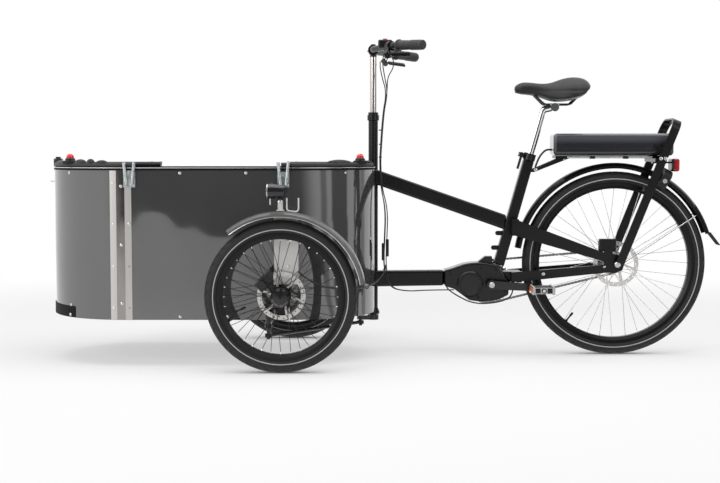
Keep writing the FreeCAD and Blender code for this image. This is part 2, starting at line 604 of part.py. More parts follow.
TRIM_IN, TRIM_OUT = 1.5 - size("trim_width"), 1.5
trim_top = HIGH + size("trim_cap")
trim = wall(TRIM_IN, TRIM_OUT, HIGH - size("trim_skirt"), trim_top)
trim = trim.cut(wall(-WALL, 0, LOW, HIGH)).cut(block(CHANNEL_BACK - WALL - 12, 0, -inside - 6, inside + 6, LOW, HIGH + 10))
BUMPER_HALF_ANGLE, BUMPER_THICK = 51, 3
bumper_back = FRONT_X - HALF * math.cos(math.radians(BUMPER_HALF_ANGLE))
bumper = wall(0, BUMPER_THICK, LOW + 2, LOW + 39).common(block(bumper_back, -3000, -HALF, HALF, LOW, HIGH))
node("box_trim", shape_feature("box_trim", Part.makeCompound([trim, bumper])))

# Joint strips over the seams, with their rivets
strip_t = size("strip_thick")
strip_shapes = []
for side, sign in SIDES:
    reach = block(FRONT_X - 47, FRONT_X + 26, 0, sign * 2 * HALF, LOW, HIGH - size("trim_skirt"))
    strip = wall(0, strip_t, LOW + 1, HIGH - size("trim_skirt") - 0.5).common(reach)
    rivets = []
    for column in (FRONT_X - 36, FRONT_X + 16):
        # the clip plate covers the flat column's top place
        for level in (0.08, 0.355, 0.635) if column > FRONT_X else (0.08, 0.355, 0.635, 0.905):
            z = LOW + level * (HIGH - LOW)
            y = HALF + strip_t if column > FRONT_X else math.sqrt((HALF + strip_t) ** 2 - (column - FRONT_X) ** 2)
            head = Part.makeSphere(5, Vec(column, sign * (y - 2.5), z))
            rivets.append(head.cut(stadium(strip_t, LOW, HIGH)))
    strip_shapes += [strip] + rivets
node("joint_strips", shape_feature("joint_strips", Part.makeCompound(strip_shapes)))

# Hood clips: plate and two socket tubes on each side, front and rear, and the stud on the nose
clip_shapes = []
for side, sign in SIDES:
    for x, back in ((FRONT_X + 20, strip_t), (REAR_X - 20, 0)):
        plate = block(x - 20, x + 20, sign * (HALF + back), sign * (HALF + strip_t + 2.5), HIGH - 63, HIGH - 11)
        sockets = []
        for lean in (-9, 9):
            foot = (x + lean, sign * (HALF + strip_t + 7), HIGH - 55)
            tip = (x + lean * 1.9, sign * (HALF + strip_t + 7), HIGH + 21)
            sockets.append(tube(foot, tip, 5.5, 4))
        keep = joined([plate] + [s.cut(plate) for s in sockets])
        clip_shapes.append(keep)
stud_z = HIGH - 47
stud = joined([rod((FRONT_X - HALF, 0, stud_z), (FRONT_X - HALF - size("stud_reach"), 0, stud_z), 4),
               rod((FRONT_X - HALF + 1, 0, stud_z), (FRONT_X - HALF - 4, 0, stud_z), 9)])
clip_shapes.append(stud.cut(stadium(0, LOW, HIGH)))
for z in (LOW + 196, HIGH - 32):
    foot = block(CHANNEL_BACK, COLUMN, -12, 12, z - 7, z + 7)
    clip_shapes.append(foot.cut(rod((COLUMN, 0, z - 9), (COLUMN, 0, z + 9), size("head_tube_r"))))
node("box_brackets", shape_feature("box_brackets", Part.makeCompound(clip_shapes)))

# Benches: a seat board and its riser at each end
seat_low = size("bench_z") - size("bench_board")
inside_plan = stadium(-WALL, seat_low, size("bench_z"))
board_front = inside_plan.common(block(-3000, front_edge, -HALF, HALF, LOW, HIGH))
board_rear = inside_plan.common(block(rear_edge, 0, -HALF, HALF, LOW, HIGH)).cut(channel_block)
riser_plan = stadium(-WALL, size("floor_z") - GROOVE, seat_low)
risers = [riser_plan.common(block(riser_x, riser_x + RISER_THICK, -HALF, HALF, LOW, HIGH))
          for riser_x in (front_riser_x, rear_riser_x)]
benches = [board_front, board_rear] + risers
node("benches", shape_feature("benches", Part.makeCompound(benches)))

# Harness: rails on the rim at both ends, webbing down the inner wall, buckles on the rails
rail_z = trim_top + size("rail_r")
rail_y, rail_r = HALF - size("rail_inset"), size("rail_r")


def rail(x_end, x_turn, direction, stop):
    # leg along the rim, then round the end until stop degrees from the side
    leg = rod((x_end, -rail_y, rail_z), (x_turn, -rail_y, rail_z), rail_r)
    ring = Part.makeTorus(rail_y, rail_r, Vec(x_turn, 0, rail_z), Vec(0, 0, 1), -180, 180, stop)
    if direction > 0:
        ring.rotate(Vec(x_turn, 0, rail_z), Vec(0, 0, 1), -90)
    else:
        ring.rotate(Vec(x_turn, 0, rail_z), Vec(0, 0, 1), -90 - stop)
    return joined([leg, ring])


front_leg = FRONT_X + 37
front_rail = joined([rail(front_leg, FRONT_X, -1, 90), mirrored(rail(front_leg, FRONT_X, -1, 90))])
rear_rail = rail(REAR_X - 28, REAR_X, 1, 78)
harness = [front_rail, rear_rail, mirrored(rear_rail)]
rail_solid = Part.makeCompound([front_rail, rear_rail, mirrored(rear_rail)])


def on_rail(x_turn, direction, degrees):
    a = math.radians(degrees)
    return x_turn + direction * rail_y * math.sin(a), -rail_y * math.cos(a)


BUCKLES = {}
for end, x_turn, direction, degrees in (("front", FRONT_X, -1, 44), ("rear", REAR_X, 1, 57)):
    bx, by = on_rail(x_turn, direction, degrees)
    BUCKLES[end] = (bx, by)
    case = block(bx - 24, bx + 24, by - 19, by + 19, rail_z + 2, rail_z + rail_r + 14)
    case = case.makeFillet(5, case.Edges).cut(rail_solid)
    well = rod((bx, by, rail_z + rail_r + 7), (bx, by, rail_z + rail_r + 20), 13 + size("fit_gap"))
    harness.append(case.cut(well))
    # low collar under a dome
    collar_z = rail_z + rail_r + 16
    dome = Part.makeSphere(13, Vec(bx, by, collar_z)).common(block(bx - 20, bx + 20, by - 20, by + 20, collar_z, collar_z + 20))
    button = joined([rod((bx, by, rail_z + rail_r + 10), (bx, by, collar_z), 13), dome])
    node("buckle_button_" + end, shape_feature("buckle_button_" + end, button))
    for angle in (20, 68):
        for mirror in (False, True):
            a = math.radians(angle)
            r_in = INNER - 2.5
            x, y = x_turn + direction * r_in * math.sin(a), -r_in * math.cos(a)
            strap = block(-2, 0, -20, 20, size("bench_z"), HIGH - size("trim_skirt") - 1)
            strap.translate(Vec(-0.4, 0, 0))
            heading = math.degrees(math.atan2(y, x - x_turn))
            strap.rotate(Vec(0, 0, 0), Vec(0, 0, 1), heading)
            strap.translate(Vec(x, y, 0))
            harness.append(mirrored(strap) if mirror else strap)
node("harness", shape_feature("harness", Part.makeCompound(harness)))

# Under-beam: spine from the head tube, cross beam and kingpins
spine = block(FRONT_X, COLUMN, -SPINE, SPINE, BEAM_HIGH - size("beam_side"), BEAM_HIGH)
spine = spine.cut(rod((COLUMN, 0, 0), (COLUMN, 0, 400), size("head_tube_r") + 6))
beam = block(BEAM_FROM, BEAM_TO, -PIN_Y - 18, PIN_Y + 18, BEAM_HIGH - size("beam_side"), BEAM_HIGH)
pins = []
for side, sign in SIDES:
    y = sign * PIN_Y
    pins.append(rod((AXLE_X, y, BEAM_HIGH - 5), (AXLE_X, y, KNUCKLE_TOP + 8), size("kingpin_r")))
    pins.append(rod((AXLE_X, y, KNUCKLE_TOP + 0.6), (AXLE_X, y, KNUCKLE_TOP + 8), 15))
chassis = joined([spine, beam] + pins)
chassis = chassis.cut(rod((COLUMN, 0, 0), (COLUMN, 0, 400), size("head_tube_r") + 6))
node("chassis", shape_feature("chassis", chassis))

# Frame tubes
lean = math.radians(size("seat_lean"))
SEAT_FOOT = Vec(size("seat_foot_x"), 0, size("seat_foot_z"))
SEAT_LINE = Vec(math.sin(lean), 0, math.cos(lean))
SEAT_TOP = SEAT_FOOT + SEAT_LINE * size("seat_tube_length")
half_side = size("seat_tube_side") / 2
seat_turn = FreeCAD.Rotation(Vec(0, 1, 0), size("seat_lean"))
seat_square = [("-Sizes.seat_tube_side / 2", "-Sizes.seat_tube_side / 2"),
               ("Sizes.seat_tube_side / 2", "-Sizes.seat_tube_side / 2"),
               ("Sizes.seat_tube_side / 2", "Sizes.seat_tube_side / 2"),
               ("-Sizes.seat_tube_side / 2", "Sizes.seat_tube_side / 2")]
seat_blank = pad("seat_tube_blank", "XY_Plane", [seat_square], "Sizes.seat_tube_length", tuple(SEAT_FOOT), seat_turn,
                 "One side", 5)
post_hole = shape_feature("post_hole", rod(SEAT_FOOT + SEAT_LINE * 70, SEAT_TOP + SEAT_LINE * 10,
                                          size("post_r") + size("running_gap")))
lugs = []
for level in (434, 382):
    # oval cable lugs standing forward of the tube
    face_x = SEAT_FOOT.x + (level - SEAT_FOOT.z) * math.tan(lean) - half_side / math.cos(lean)
    lugs.append(joined([block(face_x - 16, face_x + 8, -6, 6, level - 8, level + 8),
                        rod((face_x - 16, -6, level), (face_x - 16, 6, level), 8)]))
lug_shape = shape_feature("cable_lugs", Part.makeCompound(lugs))
node("seat_tube", cut("seat_tube", fuse("seat_tube_lugged", [seat_blank, lug_shape]), post_hole))
seat_keep = shape_feature("seat_keep", block(-half_side, half_side, -half_side - 10, half_side + 10, 0, 400))
seat_keep.Placement = place(tuple(SEAT_FOOT), seat_turn)
head_keep = shape_feature("head_keep", rod((COLUMN, 0, 0), (COLUMN, 0, 900), size("head_tube_r")))
keep_both = fuse("tube_ends", [seat_keep, head_keep])
UP_FROM, UP_TO = (COLUMN, 638), (430, 472)
up_angle = math.atan2(UP_TO[1] - UP_FROM[1], UP_TO[0] - UP_FROM[0])
up_half = size("upper_depth") / 2 / math.cos(up_angle)
upper_loop = [(UP_FROM[0], UP_FROM[1] - up_half), (UP_TO[0], UP_TO[1] - up_half), (UP_TO[0], UP_TO[1] + up_half),
              (UP_FROM[0], UP_FROM[1] + up_half)]
upper_blank = pad("upper_blank", "XZ_Plane", [upper_loop], "Sizes.tube_half * 2", fillet=9)
node("upper_tube", cut("upper_tube", upper_blank, keep_both))
MOTOR_FRONT = 210
lower_loop = [(COLUMN, "Sizes.lower_low"), (MOTOR_FRONT, "Sizes.lower_low + 4"), (MOTOR_FRONT, "Sizes.lower_high + 2"),
              (COLUMN, "Sizes.lower_high")]
lower_blank = pad("lower_blank", "XZ_Plane", [lower_loop], "Sizes.tube_half * 2", fillet=9)
head_keep_low = shape_feature("head_keep_low", rod((COLUMN, 0, 0), (COLUMN, 0, 900), size("head_tube_r")))
node("lower_tube", cut("lower_tube", lower_blank, head_keep_low))

# Mid motor with its round side cover
CRANK = (size("crank_x"), 0, size("crank_z"))
motor_loop = [(MOTOR_FRONT, 247), (245, 236), (298, 197), (406, 199, 352, 191), (438, 215), (443, 265),
              (402, 320), (278, 325, 340, 331), (228, 308), (MOTOR_FRONT, 304)]
motor_body = pad("motor_body", "XZ_Plane", [motor_loop], "Sizes.motor_half * 2", fillet=8)
spindle_hole = shape_feature("spindle_hole", rod((CRANK[0], -90, CRANK[2]), (CRANK[0], 90, CRANK[2]),
                                                size("spindle_r") + size("running_gap")))
seat_cut = fuse("motor_cuts", [spindle_hole, shape_feature("seat_keep_low", seat_keep.Shape)])
cover = revolve("motor_cover", [[(0, 0.0), (0, 46), (5, 46), (8, 42), (8, 36), (6, 34), (6, 0.0)]],
                (301, -size("motor_half"), 255), (0, -1, 0))
# cable junction standing on the motor's back
junction_loop = [(318, 322), (356, 352), (381, 352), (384, 316)]
junction = pad("motor_junction", "XZ_Plane", [junction_loop], 36, fillet=3)
housing = fuse("motor_whole", [motor_body, junction])
group("motor", [cut("motor_housing", housing, seat_cut), cover])

# Cranks, chain ring and pedals
CRANK_TILT = 3.5
ARM_Y = 78


def crank_end(sign):
    a = math.radians(-CRANK_TILT)
    way = 1 if sign < 0 else -1
    return CRANK[0] + way * size("crank_length") * math.cos(a), CRANK[2] + way * size("crank_length") * math.sin(a)


crank_shapes = [rod((CRANK[0], -ARM_Y, CRANK[2]), (CRANK[0], ARM_Y, CRANK[2]), size("spindle_r")),
                rod((CRANK[0], size("chain_y") - 4, CRANK[2]), (CRANK[0], ARM_Y, CRANK[2]), size("spindle_r") + 6)]
for side, sign in SIDES:
    px, pz = crank_end(sign)
    y0, y1 = sign * (ARM_Y - 7), sign * (ARM_Y + 7)
    boss = rod((CRANK[0], sign * (ARM_Y - 12), CRANK[2]), (CRANK[0], y1, CRANK[2]), 17)
    end = rod((px, y0, pz), (px, y1, pz), 13)
    dx, dz = (px - CRANK[0]), (pz - CRANK[2])
    nx, nz = -dz / size("crank_length"), dx / size("crank_length")
    corners = [(CRANK[0] + 15 * nx, CRANK[2] + 15 * nz), (px + 12 * nx, pz + 12 * nz), (px - 12 * nx, pz - 12 * nz),
               (CRANK[0] - 15 * nx, CRANK[2] - 15 * nz)]
    web = Part.Face(Part.makePolygon([Vec(a, y0, b) for a, b in corners + corners[:1]])).extrude(Vec(0, y1 - y0, 0))
    axle = rod((px, y0, pz), (px, sign * (ARM_Y + 110), pz), 5)
    crank_shapes += [boss, end, web, axle]
    core = tube((px, sign * (ARM_Y + 10), pz), (px, sign * (ARM_Y + 106), pz), 11, 5 + size("running_gap"))
    rails = []
    for way in (-1, 1):
        rails.append(block(px + way * 30, px + way * 39, sign * (ARM_Y + 14), sign * (ARM_Y + 104), pz - 13, pz + 13))
    for along in (ARM_Y + 14, ARM_Y + 55, ARM_Y + 96):
        rails.append(block(px - 32, px + 32, sign * along, sign * (along + 8), pz - 11, pz + 11))
    pedal = joined([core] + [r.cut(rod((px, -300, pz), (px, 300, pz), 10)) for r in rails])
    reflectors = [block(px + way * 39, px + way * 42, sign * (ARM_Y + 34), sign * (ARM_Y + 84), pz - 9, pz + 9)
                  for way in (-1, 1)]
    node("pedal_" + side, shape_feature("pedal_" + side, Part.makeCompound([pedal] + reflectors)))
node("crank_arms", shape_feature("crank_arms", joined(crank_shapes)))


def toothed(centre, teeth, y, thick, bore):
    # sprocket: root circle at the pitch line less the roller, one tapered tooth per pitch
    pitch_r = size("chain_pitch") / (2 * math.sin(math.pi / teeth))
    root, tip = pitch_r - 4.2, pitch_r + 4
    points = []
    for i in range(teeth):
        step = 2 * math.pi / teeth
        for share, r in ((-0.5, root), (-0.24, root), (-0.1, tip), (0.1, tip), (0.24, root)):
            a = step * (i + share)
            points.append(Vec(centre[0] + r * math.cos(a), y - thick / 2, centre[2] + r * math.sin(a)))
    disc = Part.Face(Part.makePolygon(points + points[:1])).extrude(Vec(0, thick, 0))
    return disc.cut(rod((centre[0], y - thick, centre[2]), (centre[0], y + thick, centre[2]), bore)), pitch_r


CHAIN_Y = size("chain_y")
ring_disc, ring_r = toothed(CRANK, int(size("ring_teeth")), CHAIN_Y, 2.4, size("spindle_r") + 6)
windows = []
for i in range(5):
    a = math.radians(72 * i + 20)
    spot = (CRANK[0] + 44 * math.cos(a), CHAIN_Y - 5, CRANK[2] + 44 * math.sin(a))
    windows.append(rod(spot, (spot[0], CHAIN_Y + 5, spot[2]), 15))
node("chainring", shape_feature("chainring", ring_disc.cut(Part.makeCompound(windows))))

# Rear sprocket on its carrier, and the chain: two rows of side plates with rollers on the free runs
sprocket_disc, sprocket_r = toothed(REAR, int(size("sprocket_teeth")), CHAIN_Y, 2.4, 18)
carrier = tube((REAR[0], 42, REAR[2]), (REAR[0], 56, REAR[2]), 18, size("rear_axle_r") + size("running_gap"))
node("rear_sprocket", shape_feature("rear_sprocket", joined([sprocket_disc, carrier])))

run = math.hypot(REAR[0] - CRANK[0], REAR[2] - CRANK[2])
slope = math.atan2(REAR[2] - CRANK[2], REAR[0] - CRANK[0])
close = math.acos((ring_r - sprocket_r) / run)


def belt_point(centre, r, way):
    a = slope + way * close
    return centre[0] + r * math.cos(a), centre[2] + r * math.sin(a)


def belt(offset, y0, y1):
    # the chain's loop grown by offset, as a solid slab
    corners = [belt_point(CRANK, ring_r + offset, 1), belt_point(REAR, sprocket_r + offset, 1),
               belt_point(REAR, sprocket_r + offset, -1), belt_point(CRANK, ring_r + offset, -1)]
    middle = Part.Face(Part.makePolygon([Vec(a, y0, b) for a, b in corners + corners[:1]])).extrude(Vec(0, y1 - y0, 0))
    ends = [rod((c[0], y0, c[2]), (c[0], y1, c[2]), r + offset) for c, r in ((CRANK, ring_r), (REAR, sprocket_r))]
    return joined([middle] + ends)


PLATE_HALF, PLATE_GAP, PLATE_THICK = 4.2, 1.8, 1.4
chain_shapes = []
for way in (-1, 1):
    y0, y1 = sorted((CHAIN_Y + way * PLATE_GAP, CHAIN_Y + way * (PLATE_GAP + PLATE_THICK)))
    chain_shapes.append(belt(PLATE_HALF, y0, y1).cut(belt(-PLATE_HALF, y0 - 1, y1 + 1)))
free_run = math.sqrt(run ** 2 - (ring_r - sprocket_r) ** 2)
for way in (-1, 1):
    first, last = belt_point(CRANK, ring_r, way), belt_point(REAR, sprocket_r, way)
    steps = int(free_run // size("chain_pitch"))
    for i in range(4, steps - 2):
        share = i * size("chain_pitch") / free_run
        x, z = first[0] + share * (last[0] - first[0]), first[1] + share * (last[1] - first[1])
        chain_shapes.append(rod((x, CHAIN_Y - PLATE_GAP, z), (x, CHAIN_Y + PLATE_GAP, z), 3.6))
node("chain", shape_feature("chain", Part.makeCompound(chain_shapes)))

# Rear frame: tapered stays each side, yokes to the seat tube and motor, dropouts, axle and brake caliper
STAY_IN, STAY_OUT = size("stay_y"), size("stay_y") + size("stay_thick")


def side_plate(outline, y0, y1):
    face = Part.Face(Part.makePolygon([Vec(a, y0, b) for a, b in outline + outline[:1]]))
    return face.extrude(Vec(0, y1 - y0, 0))


ax, az = REAR[0], REAR[2]
yoke_front, yoke_back, yoke_low, yoke_high = [size("yoke_" + k) for k in ("front", "back", "low", "high")]
foot_back, foot_low, foot_high = [size("lower_yoke_" + k) for k in ("back", "low", "high")]
rear_shapes = [block(yoke_front, yoke_back, -STAY_OUT, STAY_OUT, yoke_low, yoke_high),
               block(CRANK[0] + 40.5, foot_back, -size("motor_half"), size("motor_half"), foot_low, foot_high),
               block(foot_back - 19, foot_back, -STAY_OUT, STAY_OUT, foot_low, foot_high)]
bolt_r, bolt_z = 5, (yoke_low + yoke_high) / 2 - 2
fender_face = ax - math.sqrt(size("rear_fender_r") ** 2 - (bolt_z - bolt_r - az) ** 2)
rear_shapes.append(rod((yoke_back - 4, 0, bolt_z), (fender_face - size("fit_gap"), 0, bolt_z), bolt_r))
for side, sign in SIDES:
    y0, y1 = sign * STAY_IN, sign * STAY_OUT
    rear_shapes.append(side_plate([(yoke_front + 11, yoke_high), (ax - 18, az + 31), (ax - 28, az + 5),
                                   (yoke_front + 11, yoke_low)], y0, y1))
    rear_shapes.append(side_plate([(yoke_front - 1, foot_low), (yoke_front - 1, foot_high), (ax - 32, az - 1),
                                   (ax - 32, az - 29)], y0, y1))
    dropout = [(ax - 50, az - 27), (ax - 44, az + 25), (ax - 14, az + 37), (ax + 14, az + 33), (ax + 28, az + 9),
               (ax + 20, az - 21), (ax - 8, az - 31)]
    rear_shapes.append(side_plate(dropout, sign * (STAY_IN + 5), sign * (STAY_OUT - 1)))
    rear_shapes.append(rod((ax, sign * (STAY_OUT - 2), az), (ax, sign * (STAY_OUT + 8), az), 11))
    rear_shapes.append(rod((ax + 12, sign * (STAY_OUT - 2), az + 18), (ax + 12, sign * (size("rack_half") - 3), az + 18), 8))
rear_shapes.append(rod((ax, -STAY_OUT, az), (ax, STAY_OUT, az), size("rear_axle_r")))
rear_solid = joined(rear_shapes)
motor_prism = side_plate([p[:2] for p in motor_loop], -size("motor_half"), size("motor_half"))
rear_solid = rear_solid.cut(motor_prism).cut(seat_keep.Shape)
rear_caliper = block(ax - 62, ax - 2, -66, -40, az + 45, az + 90)
rear_caliper = rear_caliper.makeFillet(5, rear_caliper.Edges)
rear_caliper = joined([rear_caliper, block(ax - 44, ax - 16, -STAY_OUT, -STAY_IN - 4, az + 28, az + 60)])
rear_caliper = rear_caliper.cut(block(ax - 100, ax + 50, -55, -47, az - 20, az + size("disc_r") + 3)).cut(rear_solid)
node("rear_frame", shape_feature("rear_frame", Part.makeCompound([rear_solid, rear_caliper])))

# Rear fender with flared tail and wire stays
fr, fh, sheet_t = size("rear_fender_r"), size("rear_fender_half"), size("fender_sheet")
rear_fender_profile = [(-fh, fr - 20), (-fh, fr - 12), (fh, fr - 12, 0, fr), (fh, fr - 20), (fh - sheet_t, fr - 20),
                       (fh - sheet_t, fr - 12 - sheet_t), (-fh + sheet_t, fr - 12 - sheet_t, 0, fr - sheet_t),
                       (-fh + sheet_t, fr - 20)]
fender_shell = revolve("rear_fender_shell", [rear_fender_profile], REAR, (0, 1, 0), 153, 9)
tail_a = math.radians(18)
tail_x, tail_z = ax + (fr - 3) * math.cos(tail_a), az + (fr - 3) * math.sin(tail_a)
TAIL_TIP = (ax + 374.6, az + 64)
tail = side_plate([(tail_x, tail_z), (tail_x + 2.2, tail_z + 1.2), (TAIL_TIP[0], TAIL_TIP[1] + 2), TAIL_TIP], -fh, fh)
stays = []
for side, sign in SIDES:
    stay_a = math.radians(31)
    end = (ax + (fr - 14) * math.cos(stay_a), sign * (fh + 2), az + (fr - 14) * math.sin(stay_a))
    stays.append(rod((ax + 25, sign * (STAY_OUT + 1.6), az + 6), end, 2))
fender_body = fuse("fender_body", [fender_shell, shape_feature("fender_tail", tail)])
group("rear_fender", [fender_body, shape_feature("fender_stays", Part.makeCompound(stays))])

# Rear rack: flat-bar hoop, carrier under the battery and struts to the seat tube
rack_lean = FreeCAD.Rotation(Vec(0, 1, 0), size("rack_lean"))
RACK_FOOT = (ax + 12, 0, az + 18)
rh, rt, rl = size("rack_half"), size("rack_thick"), size("rack_length")
hoop_loop = [(-rh - rt / 2, -14), (-rh + rt / 2, -14), (-rh + rt / 2, rl - 40), (-rh + 40, rl - rt, -rh + 14, rl - 16),
             (rh - 40, rl - rt), (rh - rt / 2, rl - 40, rh - 14, rl - 16), (rh - rt / 2, -14), (rh + rt / 2, -14),
             (rh + rt / 2, rl - 40), (rh - 40, rl, rh - 9, rl - 11), (-rh + 40, rl), (-rh - rt / 2, rl - 40, -rh + 9, rl - 11)]
hoop = pad("rack_hoop", "YZ_Plane", [hoop_loop], "Sizes.rack_bar", RACK_FOOT, rack_lean)
PLATE_Z = size("battery_low") - 0.5
bf, bl = size("battery_front"), size("battery_length")
carrier_plate = block(bf + 8, bf + bl - 30, -38, 38, PLATE_Z - 9, PLATE_Z)
cross = block(bf + bl - 74, bf + bl - 44, -rh + rt / 2, rh - rt / 2, PLATE_Z - 21, PLATE_Z - 9)
struts = []
for side, sign in SIDES:
    y0, y1 = sign * half_side, sign * (half_side + 5)
    struts.append(side_plate([(SEAT_TOP.x - 10, SEAT_TOP.z - 42), (SEAT_TOP.x + 18, SEAT_TOP.z - 42),
                              (bf + 60, PLATE_Z - 9), (bf + 20, PLATE_Z - 9)], y0, y1))
LAMP_X = bf + bl - 2
bracket = block(LAMP_X - 64, LAMP_X, -16, 16, PLATE_Z - 27, PLATE_Z - 21)
rack_rest = shape_feature("rack_rest", joined([carrier_plate, cross, bracket] + struts))
group("rear_rack", [hoop, rack_rest])

# Battery, tail lamp, ring lock
battery_loop = [("Sizes.battery_front", "Sizes.battery_low"),
                ("Sizes.battery_front + Sizes.battery_length", "Sizes.battery_low"),
                ("Sizes.battery_front + Sizes.battery_length", "Sizes.battery_high"),
                ("Sizes.battery_front", "Sizes.battery_high")]
node("battery", pad("battery", "XZ_Plane", [battery_loop], "Sizes.battery_half * 2", fillet=13))
lamp = block(LAMP_X, LAMP_X + 28, -34, 34, PLATE_Z - 56, PLATE_Z - 10)
node("tail_lamp", shape_feature("tail_lamp", lamp.makeFillet(8, lamp.Edges)))
lock_a = 60
lock_loop = [(-52, 310), (-36, 310), (-36, 356), (36, 356, 0, 366), (36, 310), (52, 310), (52, 360), (-52, 360, 0, 384)]
lock_turn = FreeCAD.Rotation(Vec(0, 1, 0), 90 - lock_a)
ring_case = pad("ring_lock_case", "YZ_Plane", [lock_loop], 30, REAR, lock_turn)
ears = []
for side, sign in SIDES:
    ears.append(block(ax + 89, ax + 129, sign * 52, sign * (rh - rt / 2), az + 258, az + 278))
ear_shape = shape_feature("lock_ears", Part.makeCompound(ears))
node("ring_lock", fuse("ring_lock", [ring_case, ear_shape]))

# Seat clamp, its lever, post and saddle
CLAMP = SEAT_TOP
clamp_collar = tube(CLAMP, CLAMP + SEAT_LINE * 24, 22, size("post_r") + size("running_gap"))
ear = block(-40, -18, -9, 9, 4, 20)
ear.Placement = place(tuple(CLAMP), seat_turn)
clamp_collar = joined([clamp_collar, ear.cut(rod(CLAMP, CLAMP + SEAT_LINE * 24, 22))])
lever_pin_a = CLAMP + SEAT_LINE * 12 - Vec(math.cos(lean), 0, -math.sin(lean)) * 31
node("seat_clamp", shape_feature("seat_clamp", clamp_collar.cut(rod(lever_pin_a - Vec(0, 30, 0), lever_pin_a + Vec(0, 30, 0),
                                                                      4 + size("running_gap")))))
lever_arm = joined([rod(lever_pin_a - Vec(0, 20, 0), lever_pin_a + Vec(0, 9.5, 0), 4),
                    rod(lever_pin_a - Vec(0, 20, 0), lever_pin_a - Vec(0, 9.5, 0), 9),
                    rod(lever_pin_a - Vec(0, 15, 0), lever_pin_a - Vec(0, 15, 0) - SEAT_LINE * 52, 4.5)])
node("seat_clamp_lever", shape_feature("seat_clamp_lever", lever_arm))
POST_LOW = SEAT_TOP - SEAT_LINE * 150
POST_HIGH = POST_LOW + SEAT_LINE * size("post_length")
HEAD = POST_HIGH + Vec(38, 0, 8)
post = bent_rod([tuple(POST_LOW), tuple(POST_HIGH), tuple(HEAD)], size("post_r"), 18)
clamp_head = rod(HEAD - Vec(0, 30, 0), HEAD + Vec(0, 30, 0), 15)
RAIL_RISE = 10
saddle_rails = []
for side, sign in SIDES:
    y = sign * 24
    saddle_rails.append(bent_rod([(HEAD.x - 80, sign * 14, HEAD.z + 52), (HEAD.x - 36, y, HEAD.z + RAIL_RISE),
                                  (HEAD.x + 55, y, HEAD.z + RAIL_RISE), (HEAD.x + 88, y, HEAD.z + 44)], 3.5, 18))
node("seatpost", shape_feature("seatpost", joined([post, clamp_head] + saddle_rails)))


def saddle_section(x, half, low, high):
    # rounded top, flatter underside
    a, b, c, d = Vec(x, -half, low + 8), Vec(x, 0, high), Vec(x, half, low + 8), Vec(x, 0, low)
    return Part.Wire([Part.Arc(a, b, c).toShape(), Part.Arc(c, d, a).toShape()])


sx, sz = HEAD.x, HEAD.z
# distance from the post's head, half width, underside and top
SADDLE_LINES = ((-140, 15, 51, 72), (-123, 21, 47, 85), (-98, 25, 44, 90), (-58, 33, 37, 89), (-17, 52, 23, 90),
                (22, 76, 20, 102), (57, 90, 24, 108.5), (92, 87, 35, 106), (115, 70, 53, 95), (123, 48, 66, 84))
sections = [saddle_section(sx + along, half, sz + low, sz + high) for along, half, low, high in SADDLE_LINES]
node("saddle", shape_feature("saddle", Part.makeLoft([Part.Wire(s) for s in sections], True, False)))

# Cables: a bundle down the column, then under the lower tube to the motor
CABLE_R = 4
cable_y = -size("tube_half") - CABLE_R - size("fit_gap")
cable_x, tie_z = COLUMN + 25, stem_top - 381
bundle = bent_rod([(cable_x + 48, -60, stem_top - 26), (cable_x + 24, -34, tie_z + 260), (cable_x, cable_y, tie_z + 150),
                   (cable_x, cable_y, tie_z)], CABLE_R, 40)
node("steering_cables", shape_feature("steering_cables", bundle))
run_z = size("lower_low") - 17
# hangs a little clear behind the column, then drops under the lower tube
lower_run = bent_rod([(cable_x, cable_y, tie_z), (cable_x, cable_y, tie_z - 90), (cable_x + 24, cable_y, tie_z - 190),
                      (cable_x + 16, cable_y, size("lower_high") + 20), (cable_x + 34, cable_y, run_z + 6),
                      (cable_x + 138, cable_y, run_z), (MOTOR_FRONT + 41, -20, run_z)], CABLE_R, 30)
node("frame_cables", shape_feature("frame_cables", lower_run))

doc.recompute()
failed = [o.Name for o in doc.Objects if "Invalid" in o.State or "Error" in o.State]
for label, obj in NODES.items():
    if obj.Shape.isNull() or not obj.Shape.isValid():
        failed.append(label)
if failed:
    raise RuntimeError("these pieces failed: %s" % ", ".join(failed))
os.makedirs("parts", exist_ok=True)
for label, obj in NODES.items():
    obj.Shape.exportStep("parts/%s.step" % label)
print(len(NODES), "pieces written")
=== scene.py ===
import bmesh
import bpy
import math
from math import cos, pi, radians, sin
from mathutils import Matrix, Vector


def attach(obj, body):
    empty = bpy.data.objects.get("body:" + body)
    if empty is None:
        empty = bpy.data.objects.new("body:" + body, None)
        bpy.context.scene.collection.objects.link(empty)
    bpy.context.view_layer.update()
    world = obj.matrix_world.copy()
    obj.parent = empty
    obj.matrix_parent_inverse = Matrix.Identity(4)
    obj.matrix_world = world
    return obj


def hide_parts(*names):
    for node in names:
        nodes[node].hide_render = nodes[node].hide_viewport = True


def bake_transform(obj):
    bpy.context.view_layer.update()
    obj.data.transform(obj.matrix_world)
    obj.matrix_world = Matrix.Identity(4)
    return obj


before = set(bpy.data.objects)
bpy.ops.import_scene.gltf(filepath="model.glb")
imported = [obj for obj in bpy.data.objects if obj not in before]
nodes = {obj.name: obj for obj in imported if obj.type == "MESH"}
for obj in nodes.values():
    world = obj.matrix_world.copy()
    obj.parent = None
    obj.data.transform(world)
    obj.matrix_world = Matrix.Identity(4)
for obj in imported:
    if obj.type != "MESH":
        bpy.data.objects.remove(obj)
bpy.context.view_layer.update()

LEFT, RIGHT = -1, 1


# Studio: a white sweep with a wide soft light overhead and a weaker one from the front.
# The room behind the camera is dim, which is what the glossy side of the box mirrors.
def through(operation):
    # a method that sends its wire, and what it is given, through one Math node
    return lambda self, *others: self.math(operation, self, *others)


